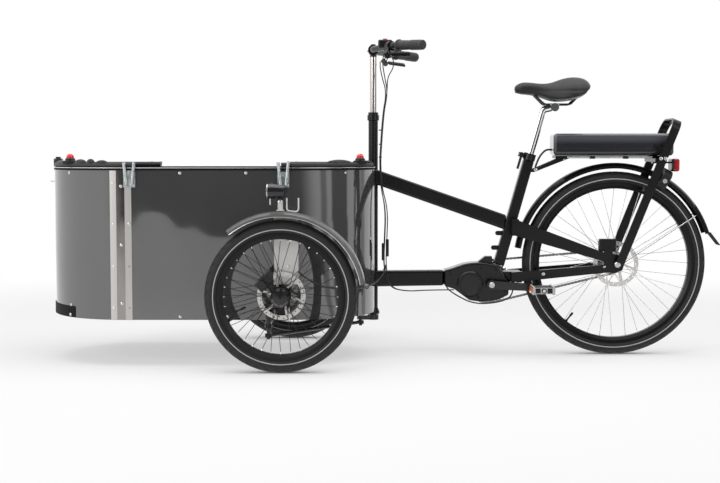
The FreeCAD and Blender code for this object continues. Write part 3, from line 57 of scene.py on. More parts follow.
class Wire:
    """One socket of a node tree. Arithmetic on it adds Math nodes."""

    def __init__(self, tree, socket=None):
        self.tree = tree
        self.socket = socket

    def node(self, kind, inputs, output=0, **settings):
        made = self.tree.nodes.new("ShaderNode" + kind)
        for key, value in settings.items():
            setattr(made, key, value)
        for key, value in inputs.items():
            if isinstance(value, Wire):
                self.tree.links.new(value.socket, made.inputs[key])
            else:
                made.inputs[key].default_value = value
        return Wire(self.tree, made.outputs[output])

    def math(self, operation, *values):
        return self.node("Math", dict(enumerate(values)), operation=operation)

    def smooth(self, low, high, first, last):
        # first below low, last above high, with a soft change between them
        inputs = {0: self, 1: low, 2: high, 3: first, 4: last}
        return self.node("MapRange", inputs, interpolation_type="SMOOTHSTEP")

    __add__ = __radd__ = through("ADD")
    __mul__ = __rmul__ = through("MULTIPLY")
    __sub__ = through("SUBTRACT")
    __gt__ = through("GREATER_THAN")
    __lt__ = through("LESS_THAN")
    absolute = through("ABSOLUTE")
    larger = through("MAXIMUM")

    def __rsub__(self, other):
        return self.math("SUBTRACT", other, self)

    def mix(self, first, second):
        # this value chooses between two colours
        first, second = (c if isinstance(c, Wire) else (*c, 1) for c in (first, second))
        return self.node("Mix", {0: self, 6: first, 7: second}, 2, data_type="RGBA")

    def into(self, shader, socket):
        self.tree.links.new(self.socket, shader.inputs[socket])
        return self


def seen_plainly(tree):
    # 1 on rays from the eye, from a mirror or through glass, else 0
    path = Wire(tree).node("LightPath", {})
    outputs = path.socket.node.outputs
    return [Wire(tree, outputs[k]) for k in ("Is Camera Ray", "Is Glossy Ray", "Is Transmission Ray")]


def spread(place):
    # x, y and z of a place, a wire each
    return [place.node("SeparateXYZ", {0: place}, k) for k in range(3)]


def new_finish(name, **constants):
    made = bpy.data.materials.new(name)
    made.use_nodes = True
    shader = made.node_tree.nodes["Principled BSDF"]
    for socket, value in constants.items():
        shader.inputs[socket.replace("_", " ")].default_value = value
    place = Wire(made.node_tree).node("TexCoord", {}, 3)
    return made, shader, place


def mesh_of(name, bm):
    data = bpy.data.meshes.new(name)
    bm.to_mesh(data)
    bm.free()
    return data


def added(name, data):
    made = bpy.data.objects.new(name, data)
    scene.collection.objects.link(made)
    return made


scene = bpy.context.scene
scene.view_settings.view_transform = "Standard"
world = bpy.data.worlds.new("studio")
world.use_nodes = True
scene.world = world
sky = world.node_tree
backdrop = sky.nodes["Background"]
backdrop.inputs["Color"].default_value = (1, 1, 1, 1)
eye, mirror, glass = seen_plainly(sky)
aim = Wire(sky).node("TexCoord", {})

# black screens that the ends of the box mirror: bearing from the camera's side, half width, depth
SCREENS = ((1.20, 0.20, 0.88), (0.76, 0.03, 0.6), (2.00, 0.05, 0.5))
SCREEN_EDGE = 0.08
DIM_UP_TO, WHITE_FROM = 0.17, 0.64
WHITE_WALL, DIM_ROOM, BRIGHT_FLOOR = 1.30, 0.10, 1.05
AMBIENT = 0.42


def room_tone(place):
    # how white the studio is that way round: dim behind the camera, with black screens beside it
    sideways, forwards = spread(place)[:2]
    bearing = sideways.math("ARCTAN2", sideways, forwards * -1.0)
    around = bearing.absolute()
    tone = around.smooth(DIM_UP_TO, WHITE_FROM, 0.0, 1.0)
    screens = around * 0.0 + 1.0
    for middle, half, depth in SCREENS:
        away = (bearing - middle).absolute()
        screens = screens * away.smooth(half, half + SCREEN_EDGE, 1.0 - depth, 1.0)
    return tone, screens


tone, screens = room_tone(aim)
dim_room = (DIM_ROOM + tone * (WHITE_WALL - DIM_ROOM)) * screens
level = eye + (1 - eye) * (mirror * dim_room + (1 - mirror) * (glass + (1 - glass) * AMBIENT))
level.into(backdrop, "Strength")

# near the object the floor takes its shadow, further off it fades into the white backdrop
FLOOR_REACH, SHADOW_REACH, WHITE_REACH = 9.0, 1.4, 3.6
SHADOW_GLOW, CONTACT_REACH = 0.52, 0.16
CLOSED, OPEN, CONTACT_GLOW = 0.40, 0.90, 0.05
floor_mesh = bmesh.new()
bmesh.ops.create_circle(floor_mesh, cap_ends=True, segments=96, radius=FLOOR_REACH)
floor = added("floor", mesh_of("floor", floor_mesh))
floor_paint, matt, on_floor = new_finish("white_sweep", Base_Color=(0.86, 0.86, 0.87, 1), Roughness=1.0,
                                         Specular_IOR_Level=0.0)
sweep = floor_paint.node_tree
eye, mirror, glass = seen_plainly(sweep)
tone, screens = room_tone(on_floor)
mirrored = (BRIGHT_FLOOR + tone * (WHITE_WALL - BRIGHT_FLOOR)) * screens
brightness = eye + (1 - eye) * mirrored
glow = Wire(sweep).node("Emission", {"Color": (1, 1, 1, 1), "Strength": brightness})
reach = on_floor.node("VectorMath", {0: on_floor}, 1, operation="LENGTH")
far = reach.smooth(SHADOW_REACH, WHITE_REACH, SHADOW_GLOW, 1.0)
# an ambient occlusion mask turns the glow down close to the object, so the floor shows darker there: painted
# contact shade that deepens the real shadow under the wheels
under = Wire(sweep).node("AmbientOcclusion", {"Distance": CONTACT_REACH}, 1, samples=8)
painted_contact_shade = under.node("MapRange", {0: under, 1: CLOSED, 2: OPEN, 3: CONTACT_GLOW, 4: 1.0})
shown = (eye * far * painted_contact_shade).larger(mirror)
sheen = shown.node("MixShader", {0: shown, 1: Wire(sweep, matt.outputs[0]), 2: glow})
sweep.links.new(sheen.socket, sweep.nodes["Material Output"].inputs["Surface"])
floor.data.materials.append(floor_paint)


def soft_light(name, place, target, width, height, watts):
    lamp = bpy.data.lights.new(name, "AREA")
    lamp.shape = "RECTANGLE"
    lamp.size = width
    lamp.size_y = height
    lamp.energy = watts
    made = added(name, lamp)
    made.location = place
    made.rotation_euler = (Vector(target) - Vector(place)).to_track_quat("-Z", "Y").to_euler()


soft_light("overhead", (-0.1, -0.3, 3.4), (-0.1, 0, 0.4), 4.4, 2.6, 92)
soft_light("front_left", (-3.4, -3.6, 2.3), (-0.3, 0, 0.45), 1.8, 2.2, 62)
soft_light("front_right", (3.6, -3.2, 2.0), (0.3, 0, 0.5), 1.4, 2.0, 34)

camera = bpy.data.cameras.new("camera")
camera.sensor_width = 36.0
camera.lens = 65.3
viewpoint = added("camera", camera)
viewpoint.location = (-0.090, -4.660, 0.713)
viewpoint.rotation_euler = (radians(90 - 3.8), 0, 0)
scene.camera = viewpoint


# Frame: welded steel tubes, stays, under-beam and rack, shot-blasted and powder coated satin black.
# The coat has a fine orange peel, is a little duller where hands and boots rub it, and hides the welds.
def cloudy(place, scale, detail=2.0, stretch=(1, 1, 1)):
    moved = place.node("Mapping", {"Vector": place, "Scale": stretch})
    return place.node("TexNoise", {"Vector": moved, "Scale": scale, "Detail": detail})


def cloud(*values):
    # a pattern, to be drawn later at the place of some finish
    return lambda place: cloudy(place, *values)


def cells(scale):
    return lambda place: place.node("TexVoronoi", {"Vector": place, "Scale": scale})


def bumped(shader, height, depth):
    bump = height.node("Bump", {"Height": height, "Distance": depth})
    bump.into(shader, "Normal")


def dress(finish, *names):
    for name in names:
        held = nodes[name]
        if not held.material_slots:
            held.data.materials.append(None)
        for place in held.material_slots:
            place.link = "OBJECT"
            place.material = finish


def surface(name, tint, dark, light, rough, wear, worn=None, relief=None, depth=0.0, **constants):
    # tint, worn and relief are patterns: for the colour, for the gloss and for the height of the surface
    made, shader, place = new_finish(name, **constants)
    pattern = tint(place)
    pattern.mix(dark, light).into(shader, "Base Color")
    (rough + (worn(place) if worn else pattern) * wear).into(shader, "Roughness")
    if relief:
        bumped(shader, relief(place), depth)
    return made


def rubbed_peel(place):
    return cloudy(place, 9.0, 4.0) * 0.10 + cloudy(place, 620.0, 1.0) * 0.06


BLACK_COAT = ((0.0050, 0.0043, 0.0045), (0.0090, 0.0078, 0.0082))
satin_black = surface("satin_black", cloud(9.0, 4.0), *BLACK_COAT, 0.18, 1.0, rubbed_peel, cloud(620.0, 1.0),
                      0.00001, Specular_IOR_Level=0.26)
dress(satin_black, "head_tube", "upper_tube", "lower_tube", "seat_tube", "rear_frame", "chassis", "handlebar",
      "rear_rack")


# Bolts of the frame: plated socket screws with low domed heads, on the stays and on the battery struts.
# They are turned from bright steel and stand on the painted faces that they hold.
def placed(name, data, body, slot, *finishes, sharp=32):
    for finish in finishes:
        data.materials.append(finish)
    data.shade_smooth()
    data.set_sharp_from_angle(angle=radians(sharp))
    made = added(name, data)
    if body:
        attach(made, body)
    return made


def piece(name, bm, body, slot, *finishes, sharp=32):
    bmesh.ops.remove_doubles(bm, verts=bm.verts, dist=1e-6)
    bmesh.ops.recalc_face_normals(bm, faces=bm.faces)
    return placed(name, mesh_of(name, bm), body, slot, *finishes, sharp=sharp)


def joined(bm, points, closed=True):
    # edges from each point to the next
    following = points[1:] + points[:1] if closed else points[1:]
    return [bm.edges.new(pair) for pair in zip(points, following)]


def lathe(bm, outline, centre, axis, steps=20, closed=False, start=None, turn=2 * pi):
    # outline: (along the axis, radius) pairs turned round the axis, from the start direction on a part turn
    along = Vector(axis).normalized()
    out = Vector(start).normalized() if start else along.orthogonal().normalized()
    points = [bm.verts.new(Vector(centre) + along * a + out * r) for a, r in outline]
    line = points + joined(bm, points, closed)
    bmesh.ops.spin(bm, geom=line, cent=centre, axis=along, angle=turn, steps=steps, use_merge=not start)


def screw_head(bm, at, out, r=0.005, high=0.003):
    socket = 0.42 * r
    outline = [(0, 0), (0, r), (0.3 * high, r), (0.7 * high, 0.86 * r), (high, 0.5 * r), (high, socket),
               (0.35 * high, socket), (0.35 * high, 0)]
    lathe(bm, outline, at, out, 12)


def side_screws(bm, face, r, *spots, high=0.003):
    # the same heads on the left and right faces of a piece
    for side in (LEFT, RIGHT):
        for x, z in spots:
            screw_head(bm, (x, side * face, z), (0, side, 0), r, high)


def brushed(name, dark, light, rough, stretch):
    streak = cloud(30.0, 4.0, stretch)
    return surface(name, streak, dark, light, rough, 0.16, None, streak, 0.00004, Metallic=1.0)


stainless = brushed("stainless", (0.50, 0.49, 0.48), (0.72, 0.71, 0.70), 0.20, (30, 30, 0.6))
FRONT_AXLE, REAR_AXLE = Vector((-0.349, 0, 0.250)), Vector((0.816, 0, 0.327))


def bright(name, bm, body):
    piece(name, bm, body, "stainless", stainless)


STAY_FACE, STRUT_FACE, RACK_FACE, AXLE_END = 0.069, 0.024, 0.093, 0.077
AXLE_NUT = [(0, 0.0115), (0.006, 0.0115), (0.008, 0.009), (0.008, 0)]
bm = bmesh.new()
side_screws(bm, STAY_FACE, 0.0065, (0.557, 0.292))
side_screws(bm, STAY_FACE, 0.0050, (0.772, 0.318))
side_screws(bm, STRUT_FACE, 0.0065, (0.532, 0.660))
side_screws(bm, STRUT_FACE, 0.0045, (0.634, 0.6965))
side_screws(bm, RACK_FACE, 0.0065, (0.961, 0.699), (0.977, 0.699))
for side in (LEFT, RIGHT):
    lathe(bm, AXLE_NUT, REAR_AXLE + Vector((0, side * AXLE_END, 0)), (0, side, 0), 6)
bright("frame_bolts", bm, "frame")


# Tyres: wide city tyres in black rubber, moulded with slanted grooves on both shoulders.
# A pale reflective stripe runs round each sidewall, and the beads sit in the rim's well.
BEAD_HIGH, BEAD_HALF, BEAD_GAP = 0.006, 0.014, 0.0004
TYRE_BANDS, TYRE_STEPS, STRIPE_HALF = 36, 192, 0.0019
GROOVE_BANK, GROOVE_DEEP = 0.0011, 0.0016


def wheel_tyre(name, body, centre, bead, outer, stripe):
    # round section over the rim; slanted rows of faces on the shoulders are sunk as grooves
    edge, half = bead + BEAD_HIGH, BEAD_HALF
    rise = outer - edge
    round_r = (half ** 2 + rise ** 2) / (2 * rise)
    middle = outer - round_r
    reach = pi - math.asin(half / round_r)
    bands, steps = TYRE_BANDS, TYRE_STEPS
    outline = [(half, bead + BEAD_GAP)]
    for k in range(bands + 1):
        a = reach - 2 * reach * k / bands
        outline.append((round_r * sin(a), middle + round_r * cos(a)))
    outline.append((-half, bead + BEAD_GAP))
    bm = bmesh.new()
    lathe(bm, outline, centre, (0, 1, 0), steps, closed=True)
    bmesh.ops.remove_doubles(bm, verts=bm.verts, dist=1e-6)
    bmesh.ops.recalc_face_normals(bm, faces=bm.faces)
    grooves = []
    for face in bm.faces:
        at = face.calc_center_median() - Vector(centre)
        r = math.hypot(at.x, at.z)
        lean = math.atan2(abs(at.y), r - middle)
        row = int(lean / (2 * reach / bands))
        step = int(math.atan2(at.z, at.x) / (2 * pi) * steps + steps)
        if abs(r - stripe) < STRIPE_HALF and abs(at.y) > half:
            face.material_index = 1
        elif (2 <= row <= 7 and (step + row // 2) % 4 == 0) or (row == 0 and step % 2 == 0):
            grooves.append(face)
    bmesh.ops.inset_region(bm, faces=grooves, thickness=GROOVE_BANK, depth=-GROOVE_DEEP)
    made = piece(name, bm, body, "tyre", rubber_black, stripe_white, sharp=40)
    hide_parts(name.replace("_cover", ""))


rubber_black = surface("tyre_rubber", cloud(12.0, 4.0), (0.010, 0.010, 0.010), (0.020, 0.019, 0.019), 0.58,
                       0.2, None, cloud(480.0, 2.0), 0.0001, Specular_IOR_Level=0.35)
stripe_white = surface("reflective_stripe", cells(1400.0), (0.50, 0.51, 0.53), (0.32, 0.33, 0.35), 0.3, 0.2)
TRACK = 0.415


def ray(a):
    # unit direction in the side plane, turned up from the rear
    return Vector((cos(a), 0, sin(a)))


# node, body, centre, bead radius, outer radius, radius of the stripe
WHEELS = [("front_tyre_left", "wheel_left", FRONT_AXLE + Vector((0, -TRACK, 0)), 0.203, 0.250, 0.2205),
          ("front_tyre_right", "wheel_right", FRONT_AXLE + Vector((0, TRACK, 0)), 0.203, 0.250, 0.2205),
          ("rear_tyre", "rear_wheel", REAR_AXLE, 0.280, 0.327, 0.300)]
for name, body, centre, bead, outer, stripe in WHEELS:
    wheel_tyre(name + "_cover", body, centre, bead, outer, stripe)

# Rims and spokes: black anodised box rims, laced with 36 steel spokes, black in front and plain behind.
# Each spoke ends in a plated brass nipple in the rim, and a valve stem stands through it.
dark_alloy = brushed("dark_alloy", (0.018, 0.018, 0.019), (0.032, 0.032, 0.034), 0.30, (8, 1, 8))
dress(dark_alloy, "front_rim_left", "front_rim_right", "rear_rim", "front_spokes_left", "front_spokes_right")
dress(stainless, "rear_spokes")
SPOKES, CROSS, SHIFT = 36, radians(40), 0.0024
WELL, HUB_SEAT, RIM_SEAT, FLANGE_HALF, RIM_DISH = 0.014, 0.005, 0.002, 0.002, 0.003
NIPPLE = [(0.001, 0), (0.001, 0.0016), (0.006, 0.0015), (0.008, 0.0011), (0.008, 0)]
VALVE_STEM = [(0, 0.0048), (0.004, 0.0048), (0.005, 0.003), (0.022, 0.003), (0.022, 0.0042), (0.036, 0.0042),
              (0.038, 0)]
# flange radius, its distance from the middle plane, bearing of the valve
HUBS = {"wheel_left": (0.033, 0.027, 205), "wheel_right": (0.033, 0.027, 205),
        "rear_wheel": (0.034, 0.028, 231.5)}
for name, body, centre, bead, outer, stripe in WHEELS:
    flange, reach, bearing = HUBS[body]
    rim_r = bead - WELL
    hub_r = flange - HUB_SEAT
    tip_r = rim_r + RIM_SEAT
    bm = bmesh.new()
    for i in range(SPOKES):
        side = 1 if i % 2 else -1
        lean = 1 if (i // 2) % 2 else -1
        at_hub = 2 * pi * i / SPOKES
        at_rim = at_hub + CROSS * lean
        foot_y = side * (reach - FLANGE_HALF) + lean * SHIFT
        tip_y = side * RIM_DISH + lean * SHIFT / 2
        foot = centre + ray(at_hub) * hub_r + Vector((0, foot_y, 0))
        tip = centre + ray(at_rim) * tip_r + Vector((0, tip_y, 0))
        lathe(bm, NIPPLE, tip, foot - tip, 8)
    bright(body + "_nipples", bm, body)
    inward = -ray(radians(bearing))
    bm = bmesh.new()
    lathe(bm, VALVE_STEM, centre - inward * rim_r, inward, 12)
    piece(body + "_valve", bm, body, "rubber", rubber_black)


# Hubs and brake discs: black hub shells with a drilled stainless disc on the inner side in front.
# The rear hub is plain alloy and its disc sits on the left.
GLOSS_LOSS = 0.75


def split_finish(name, chooser, first, second, shine=0.5, dull=None):
    # two finishes on one solid, each (dark, light, roughness, metallic): chooser gives 1 where the second
    # shows, dull gives 1 where the gloss is gone
    made, shader, place = new_finish(name, Specular_IOR_Level=shine)
    choose = chooser(*spread(place))
    grain = cloudy(place, 45.0, 3.0)
    choose.mix(grain.mix(*first[:2]), grain.mix(*second[:2])).into(shader, "Base Color")
    rough = first[2] + choose * (second[2] - first[2]) + grain * 0.1
    if dull:
        rough = rough + dull(*spread(place)) * GLOSS_LOSS
    rough.into(shader, "Roughness")
    (first[3] + choose * (second[3] - first[3])).into(shader, "Metallic")
    bumped(shader, cloudy(place, 600.0, 1.0), 0.00001)
    return made


def beyond(a, b, limit):
    # 1 outside a circle of that radius
    return a * a + b * b > limit * limit


BLACK = (*BLACK_COAT, 0.18, 0.0)
STEEL = ((0.58, 0.56, 0.54), (0.76, 0.74, 0.72), 0.30, 0.35)
GREY_ALLOY = ((0.40, 0.40, 0.41), (0.55, 0.55, 0.56), 0.28, 1.0)
FRONT_DISC_FACE, REAR_DISC_FACE = 0.3855, -0.0490
FRONT_BOSS, REAR_BOSS = 0.026, 0.024


def front_disc(x, y, z):
    return (y.absolute() < FRONT_DISC_FACE) * beyond(x - FRONT_AXLE.x, z - FRONT_AXLE.z, FRONT_BOSS)


def rear_disc(x, y, z):
    return (y < REAR_DISC_FACE) * beyond(x - REAR_AXLE.x, z - REAR_AXLE.z, REAR_BOSS)


dress(split_finish("front_hub", front_disc, BLACK, STEEL), "front_hub_left", "front_hub_right")
dress(split_finish("rear_hub", rear_disc, GREY_ALLOY, STEEL), "rear_hub")

# Knuckles: forged steel stub axles on kingpins, painted black, each with a black disc caliper.
# A bright stainless plate screwed behind the wheel carries the fender.
PLATE = ((0.60, 0.585, 0.565), (0.66, 0.645, 0.625), 0.34, 0.75)
PLATE_FRONT, PLATE_LOW, PLATE_BACK, PLATE_FACE = -0.374, 0.2862, 0.3664, 0.3702


def fender_plate(x, y, z):
    return (x > PLATE_FRONT) * (z > PLATE_LOW) * (y.absolute() > PLATE_BACK)


dress(split_finish("knuckle", fender_plate, BLACK, PLATE), "knuckle_left", "knuckle_right")
SIDES = ((LEFT, "left"), (RIGHT, "right"))
for side, where in SIDES:
    bm = bmesh.new()
    for x, z in ((-0.349, 0.322), (-0.325, 0.345), (-0.325, 0.430)):
        screw_head(bm, (x, side * PLATE_FACE, z), (0, side, 0), 0.0055)
    bright("plate_screws_" + where, bm, "knuckle_" + where)

# Steering rods: drawn steel rods with forged eyes, one from the column and one between the knuckles.
# They are sprayed with the frame's black coat, and their eyes sit on the arms' pins.
dress(satin_black, "drag_link", "tie_rod")


# Front fenders: pressed steel in the box's dark grey enamel, with a rolled bright edge on both lips.
# The left one carries the lamp's bracket and a bent steel guard wire.
def enamel(name, dark, light, wave):
    haze, long_waves = cloud(30.0, 3.0), cloud(4.5, 1.0, (1, 1, 0.8))
    return surface(name, cloud(3.0, 3.0), dark, light, 0.02, 0.05, haze, long_waves, wave, IOR=1.95)


GREYS = ((0.10, 0.10, 0.102), (0.125, 0.125, 0.128))
dress(enamel("fender_enamel", *GREYS, 0.0006), "fender_right")
FENDER_OUTSIDE = 0.2812


def lamp_bracket(x, y, z):
    return beyond(x - FRONT_AXLE.x, z - FRONT_AXLE.z, FENDER_OUTSIDE)


dress(split_finish("left_fender", lamp_bracket, (*GREYS, 0.08, 0.0), STEEL), "fender_left")


def circle(r, count=8):
    # a round section, as points about zero
    return [(r * cos(a), r * sin(a)) for a in (2 * pi * k / count for k in range(count))]


BEAD_R = 0.0011


def lip_beads(name, body, centre, r, half, first, last, slot, finish):
    # rolled edge along both lips, angles measured up from the front
    bm = bmesh.new()
    a = radians(first)
    start, turn = (-cos(a), 0, sin(a)), radians(last - first)
    for side in (LEFT, RIGHT):
        section = [(side * half + across, r + up) for across, up in circle(BEAD_R)]
        lathe(bm, section, centre, (0, 1, 0), 60, True, start, turn)
    bmesh.ops.holes_fill(bm, edges=bm.edges)
    piece(name, bm, body, slot, finish)


for side, where in SIDES:
    middle = FRONT_AXLE + Vector((0, side * TRACK, 0))
    lip_beads("fender_lips_" + where, "knuckle_" + where, middle, 0.2625, 0.0318, 51, 171, "stainless",
              stainless)


# Headlamp: a small black drum with a clear lens set in a bright bezel, hung on the bracket's pivot screw.
# A short stud and its lead come out underneath.
def moulding(name, colour, rough, grain=0.00008, shine=0.5):
    lighter = [c * 1.5 for c in colour]
    return surface(name, cloud(22.0, 3.0), colour, lighter, rough, 0.12, None, cells(900.0), grain,
                   Specular_IOR_Level=shine)


LAMP_MID = Vector((-0.397, -0.415, 0.594))
LENS = ((0.72, 0.74, 0.76), (0.86, 0.87, 0.88), 0.04, 0.6)
GLOSS = ((0.009, 0.009, 0.012), (0.014, 0.014, 0.018), 0.14, 0.0)
LENS_BACK = -0.3945
BEZEL = [(0.0045, 0.0242), (0.0050, 0.0247), (0.0068, 0.0247), (0.0073, 0.0242)]
STUD = [(0, 0.0026), (0.020, 0.0026), (0.022, 0.0012), (0.022, 0)]
dress(split_finish("lamp_drum", lambda x, y, z: x < LENS_BACK, GLOSS, LENS), "headlamp")
bm = bmesh.new()
lathe(bm, BEZEL, LAMP_MID, (1, 0, 0), 40, True)
lathe(bm, STUD, LAMP_MID + Vector((0.015, 0, -0.0228)), (0, 0, -1), 12)
bright("lamp_bezel", bm, "headlamp")
bm = bmesh.new()
screw_head(bm, (-0.349, -0.429, 0.560), (0, -1, 0), 0.0078, 0.004)
bright("lamp_pivot_screw", bm, "knuckle_left")

# Cargo box: thin sheet bent round two half circles, dark grey, stoved to a mirror-like gloss.
# Such a large thin sheet is never quite flat, so what it mirrors swims in long waves.
box_enamel = enamel("box_enamel", (0.040, 0.040, 0.041), (0.055, 0.055, 0.056), 0.0045)
dress(box_enamel, "box_end_panels", "box_side_panels")
BOX_HALF, FRONT_END, REAR_END = 0.290, -0.881, -0.326
RIM_TOP, BOX_LOW = 0.667, 0.158


def end_face(end, degrees, side, z, r):
    # a place on a round end and the way out of it, degrees from the side
    a = radians(degrees)
    way = -1 if end == FRONT_END else 1
    out = Vector((way * sin(a), side * cos(a), 0))
    return Vector((end, 0, z)) + out * r, out


bm = bmesh.new()
side_screws(bm, BOX_HALF, 0.0055, (-0.692, 0.652), (-0.471, 0.652), (-0.695, 0.169), (-0.535, 0.169))
for side in (LEFT, RIGHT):
    for z in (0.652, 0.20):
        screw_head(bm, *end_face(FRONT_END, 43, side, z, BOX_HALF), 0.0055)
    for degrees, z in ((40, 0.652), (70, 0.42), (40, 0.20)):
        screw_head(bm, *end_face(REAR_END, degrees, side, z, BOX_HALF), 0.0045)
bright("panel_screws", bm, "frame")

# Rim edging and bumper: a soft black profile pushed over the sheet's edge, with a bright bead along its top
# that is a painted highlight.
# A rubber block wraps the foot of the nose, held by small screws.
black_nylon = moulding("black_nylon", (0.006, 0.006, 0.0065), 0.26, 0.00002, 0.3)
dress(moulding("edge_rubber", (0.005, 0.005, 0.0055), 0.62, 0.00003, 0.12), "box_trim")
BUMPER_THICK = 0.003


def only(kind, found):
    return [g for g in found if isinstance(g, kind)]


def drawn_out(bm, edges, vec):
    # extrudes edges along a line and gives the new end as verts and edges
    made = bmesh.ops.extrude_edge_only(bm, edges=edges)["geom"]
    bmesh.ops.translate(bm, verts=only(bmesh.types.BMVert, made), vec=vec)
    return [g for g in made if not isinstance(g, bmesh.types.BMFace)]


def round_the_box(bm, outline, stop):
    # closed outline of (outwards, height) points taken round the box from one side of the column to the other
    first = radians(stop)
    start = Vector((cos(first), -sin(first), 0))
    points = [bm.verts.new(Vector((REAR_END, 0, z)) + start * r) for r, z in outline]
    line = points + joined(bm, points)
    quarter, straight = pi / 2 - first, FRONT_END - REAR_END
    turns = ((REAR_END, -quarter, 18, straight), (FRONT_END, -pi, 36, -straight),
             (REAR_END, -quarter, 18, 0))
    for end, angle, steps, run in turns:
        spun = bmesh.ops.spin(bm, geom=line, cent=(end, 0, 0), axis=(0, 0, 1), angle=angle, steps=steps)
        line = spun["geom_last"]
        if run:
            line = drawn_out(bm, only(bmesh.types.BMEdge, line), (run, 0, 0))


EDGING_R, EDGING_OUT, EDGING_UP, COLUMN_STOP = 0.0012, 0.0010, 0.0022, 7.5
bm = bmesh.new()
# a thin bright metal bead on the top outer edge of the black edging: a painted highlight where the light from
# above catches the trim
bead = [(BOX_HALF + EDGING_OUT + across, RIM_TOP + EDGING_UP + up) for across, up in circle(EDGING_R)]
round_the_box(bm, bead, COLUMN_STOP)
bmesh.ops.holes_fill(bm, edges=bm.edges)
painted_highlight_bead = brushed("painted_highlight_bead", (0.66, 0.66, 0.66), (0.80, 0.80, 0.80), 0.16, (2, 2, 2))
piece("rim_painted_highlight", bm, "frame", "stainless", painted_highlight_bead)
bm = bmesh.new()
for side in (LEFT, RIGHT):
    for degrees in (80, 43):
        screw_head(bm, *end_face(FRONT_END, degrees, side, 0.168, BOX_HALF + BUMPER_THICK), 0.0055)
bright("bumper_screws", bm, "frame")


# Joint strips: polished stainless bands over the seams between the side sheets and the round nose.
# Two brushed bars are riveted along their edges, and larger domed screws hold the band between them.
ripples, swirl = cloud(22.0, 1.0, (1, 1, 0.3)), cloud(16.0, 3.0, (1, 1, 0.35))
band = surface("polished_band", swirl, (0.15, 0.138, 0.133), (0.29, 0.275, 0.265), 0.06, 0.08,
               cloud(60.0, 2.0), ripples, 0.0012, Metallic=1.0)
satin_bar = brushed("satin_bar", (0.41, 0.395, 0.38), (0.52, 0.505, 0.49), 0.34, (40, 40, 0.4))
dress(band, "joint_strips")


def block(bm, at, size, turn=None):
    return bmesh.ops.create_cube(bm, size=1.0, matrix=Matrix.LocRotScale(at, turn, size))["verts"]


STRIP_FACE, BAR_THICK = 0.2916, 0.0012
BAR_FACE = STRIP_FACE + BAR_THICK
BAR_LOW, BAR_HIGH = BOX_LOW + 0.0012, RIM_TOP - 0.0066
BENT_FIRST, BENT_LAST, BENT_MID = (math.asin(away / STRIP_FACE) for away in (0.025, 0.0465, 0.036))
FLAT_X, FLAT_WIDE = -0.8665, 0.0225
RIVET = [(0, 0.0042), (0.0012, 0.0036), (0.0020, 0.002), (0.0023, 0)]
bm = bmesh.new()
for side in (LEFT, RIGHT):
    section = [(BAR_LOW, STRIP_FACE), (BAR_HIGH, STRIP_FACE), (BAR_HIGH, BAR_FACE), (BAR_LOW, BAR_FACE)]
    start = (-sin(BENT_FIRST), side * cos(BENT_FIRST), 0)
    lathe(bm, section, (FRONT_END, 0, 0), (0, 0, 1), 6, True, start, side * (BENT_LAST - BENT_FIRST))
    bmesh.ops.holes_fill(bm, edges=bm.edges)
    middle = Vector((FLAT_X, side * (STRIP_FACE + BAR_THICK / 2), (BAR_LOW + BAR_HIGH) / 2))
    block(bm, middle, Vector((FLAT_WIDE, BAR_THICK, BAR_HIGH - BAR_LOW)))
piece("strip_bars", bm, "frame", "stainless", satin_bar)
bm = bmesh.new()
for z in (0.608, 0.411, 0.214):
    side_screws(bm, STRIP_FACE, 0.0058, (-0.8895, z), high=0.0038)
side_screws(bm, BAR_FACE, 0.0062, (-0.8625, 0.4815), high=0.0038)
for side in (LEFT, RIGHT):
    for share in (0.08, 0.355, 0.635, 0.905):
        z = BOX_LOW + share * (RIM_TOP - BOX_LOW)
        at, out = end_face(FRONT_END, math.degrees(BENT_MID), side, z, BAR_FACE)
        lathe(bm, RIVET, at, out, 12)
bright("strip_screws", bm, "frame")


# Hood clips: zinc-plated steel plates with two tube sockets each, bolted to the sides under the rim.
# The same plated steel makes the column's two saddle feet and the stud on the nose.
def spangle(place):
    cell_colour = place.node("TexVoronoi", {"Vector": place, "Scale": 130.0}, 1)
    return place.node("RGBToBW", {0: cell_colour})


zinc_plate = surface("zinc_plate", spangle, (0.34, 0.37, 0.38), (0.58, 0.61, 0.62), 0.26, 0.16, None, spangle,
                     0.00003, Metallic=1.0)
dress(zinc_plate, "box_brackets")
CLIP_FACE, CLIP_INSET = 0.2941, 0.020
bm = bmesh.new()
for x in (FRONT_END + CLIP_INSET, REAR_END - CLIP_INSET):
    side_screws(bm, CLIP_FACE, 0.0045, (x - 0.015, 0.640), (x + 0.015, 0.612))
bright("clip_screws", bm, "frame")


# Floor and benches: film-faced plywood, dark brown and hard, with a fine wire-mesh print for grip.
# The boards are sawn to the inside of the box, and the risers stand in grooves in the floor.
def mesh_print(place):
    return place.node("TexChecker", {"Vector": place, "Scale": 160.0}, 1)


film_board = surface("film_board", cloud(14.0, 5.0, (1, 6, 1)), (0.030, 0.021, 0.016), (0.055, 0.041, 0.032),
                     0.42, 0.2, None, mesh_print, 0.0003)
dress(film_board, "box_floor", "benches")


# Harness: a rubbered hand rail clipped on the rim at both ends, with woven straps looped down to the benches.
# Moulded cases on the rail take the buckles, each opened by a domed red button.
def weave(place):
    across = place.node("TexWave", {"Vector": place, "Scale": 260.0, "Distortion": 0.4})
    up = place.node("TexWave", {"Vector": place, "Scale": 420.0}, bands_direction="Z")
    return across * up


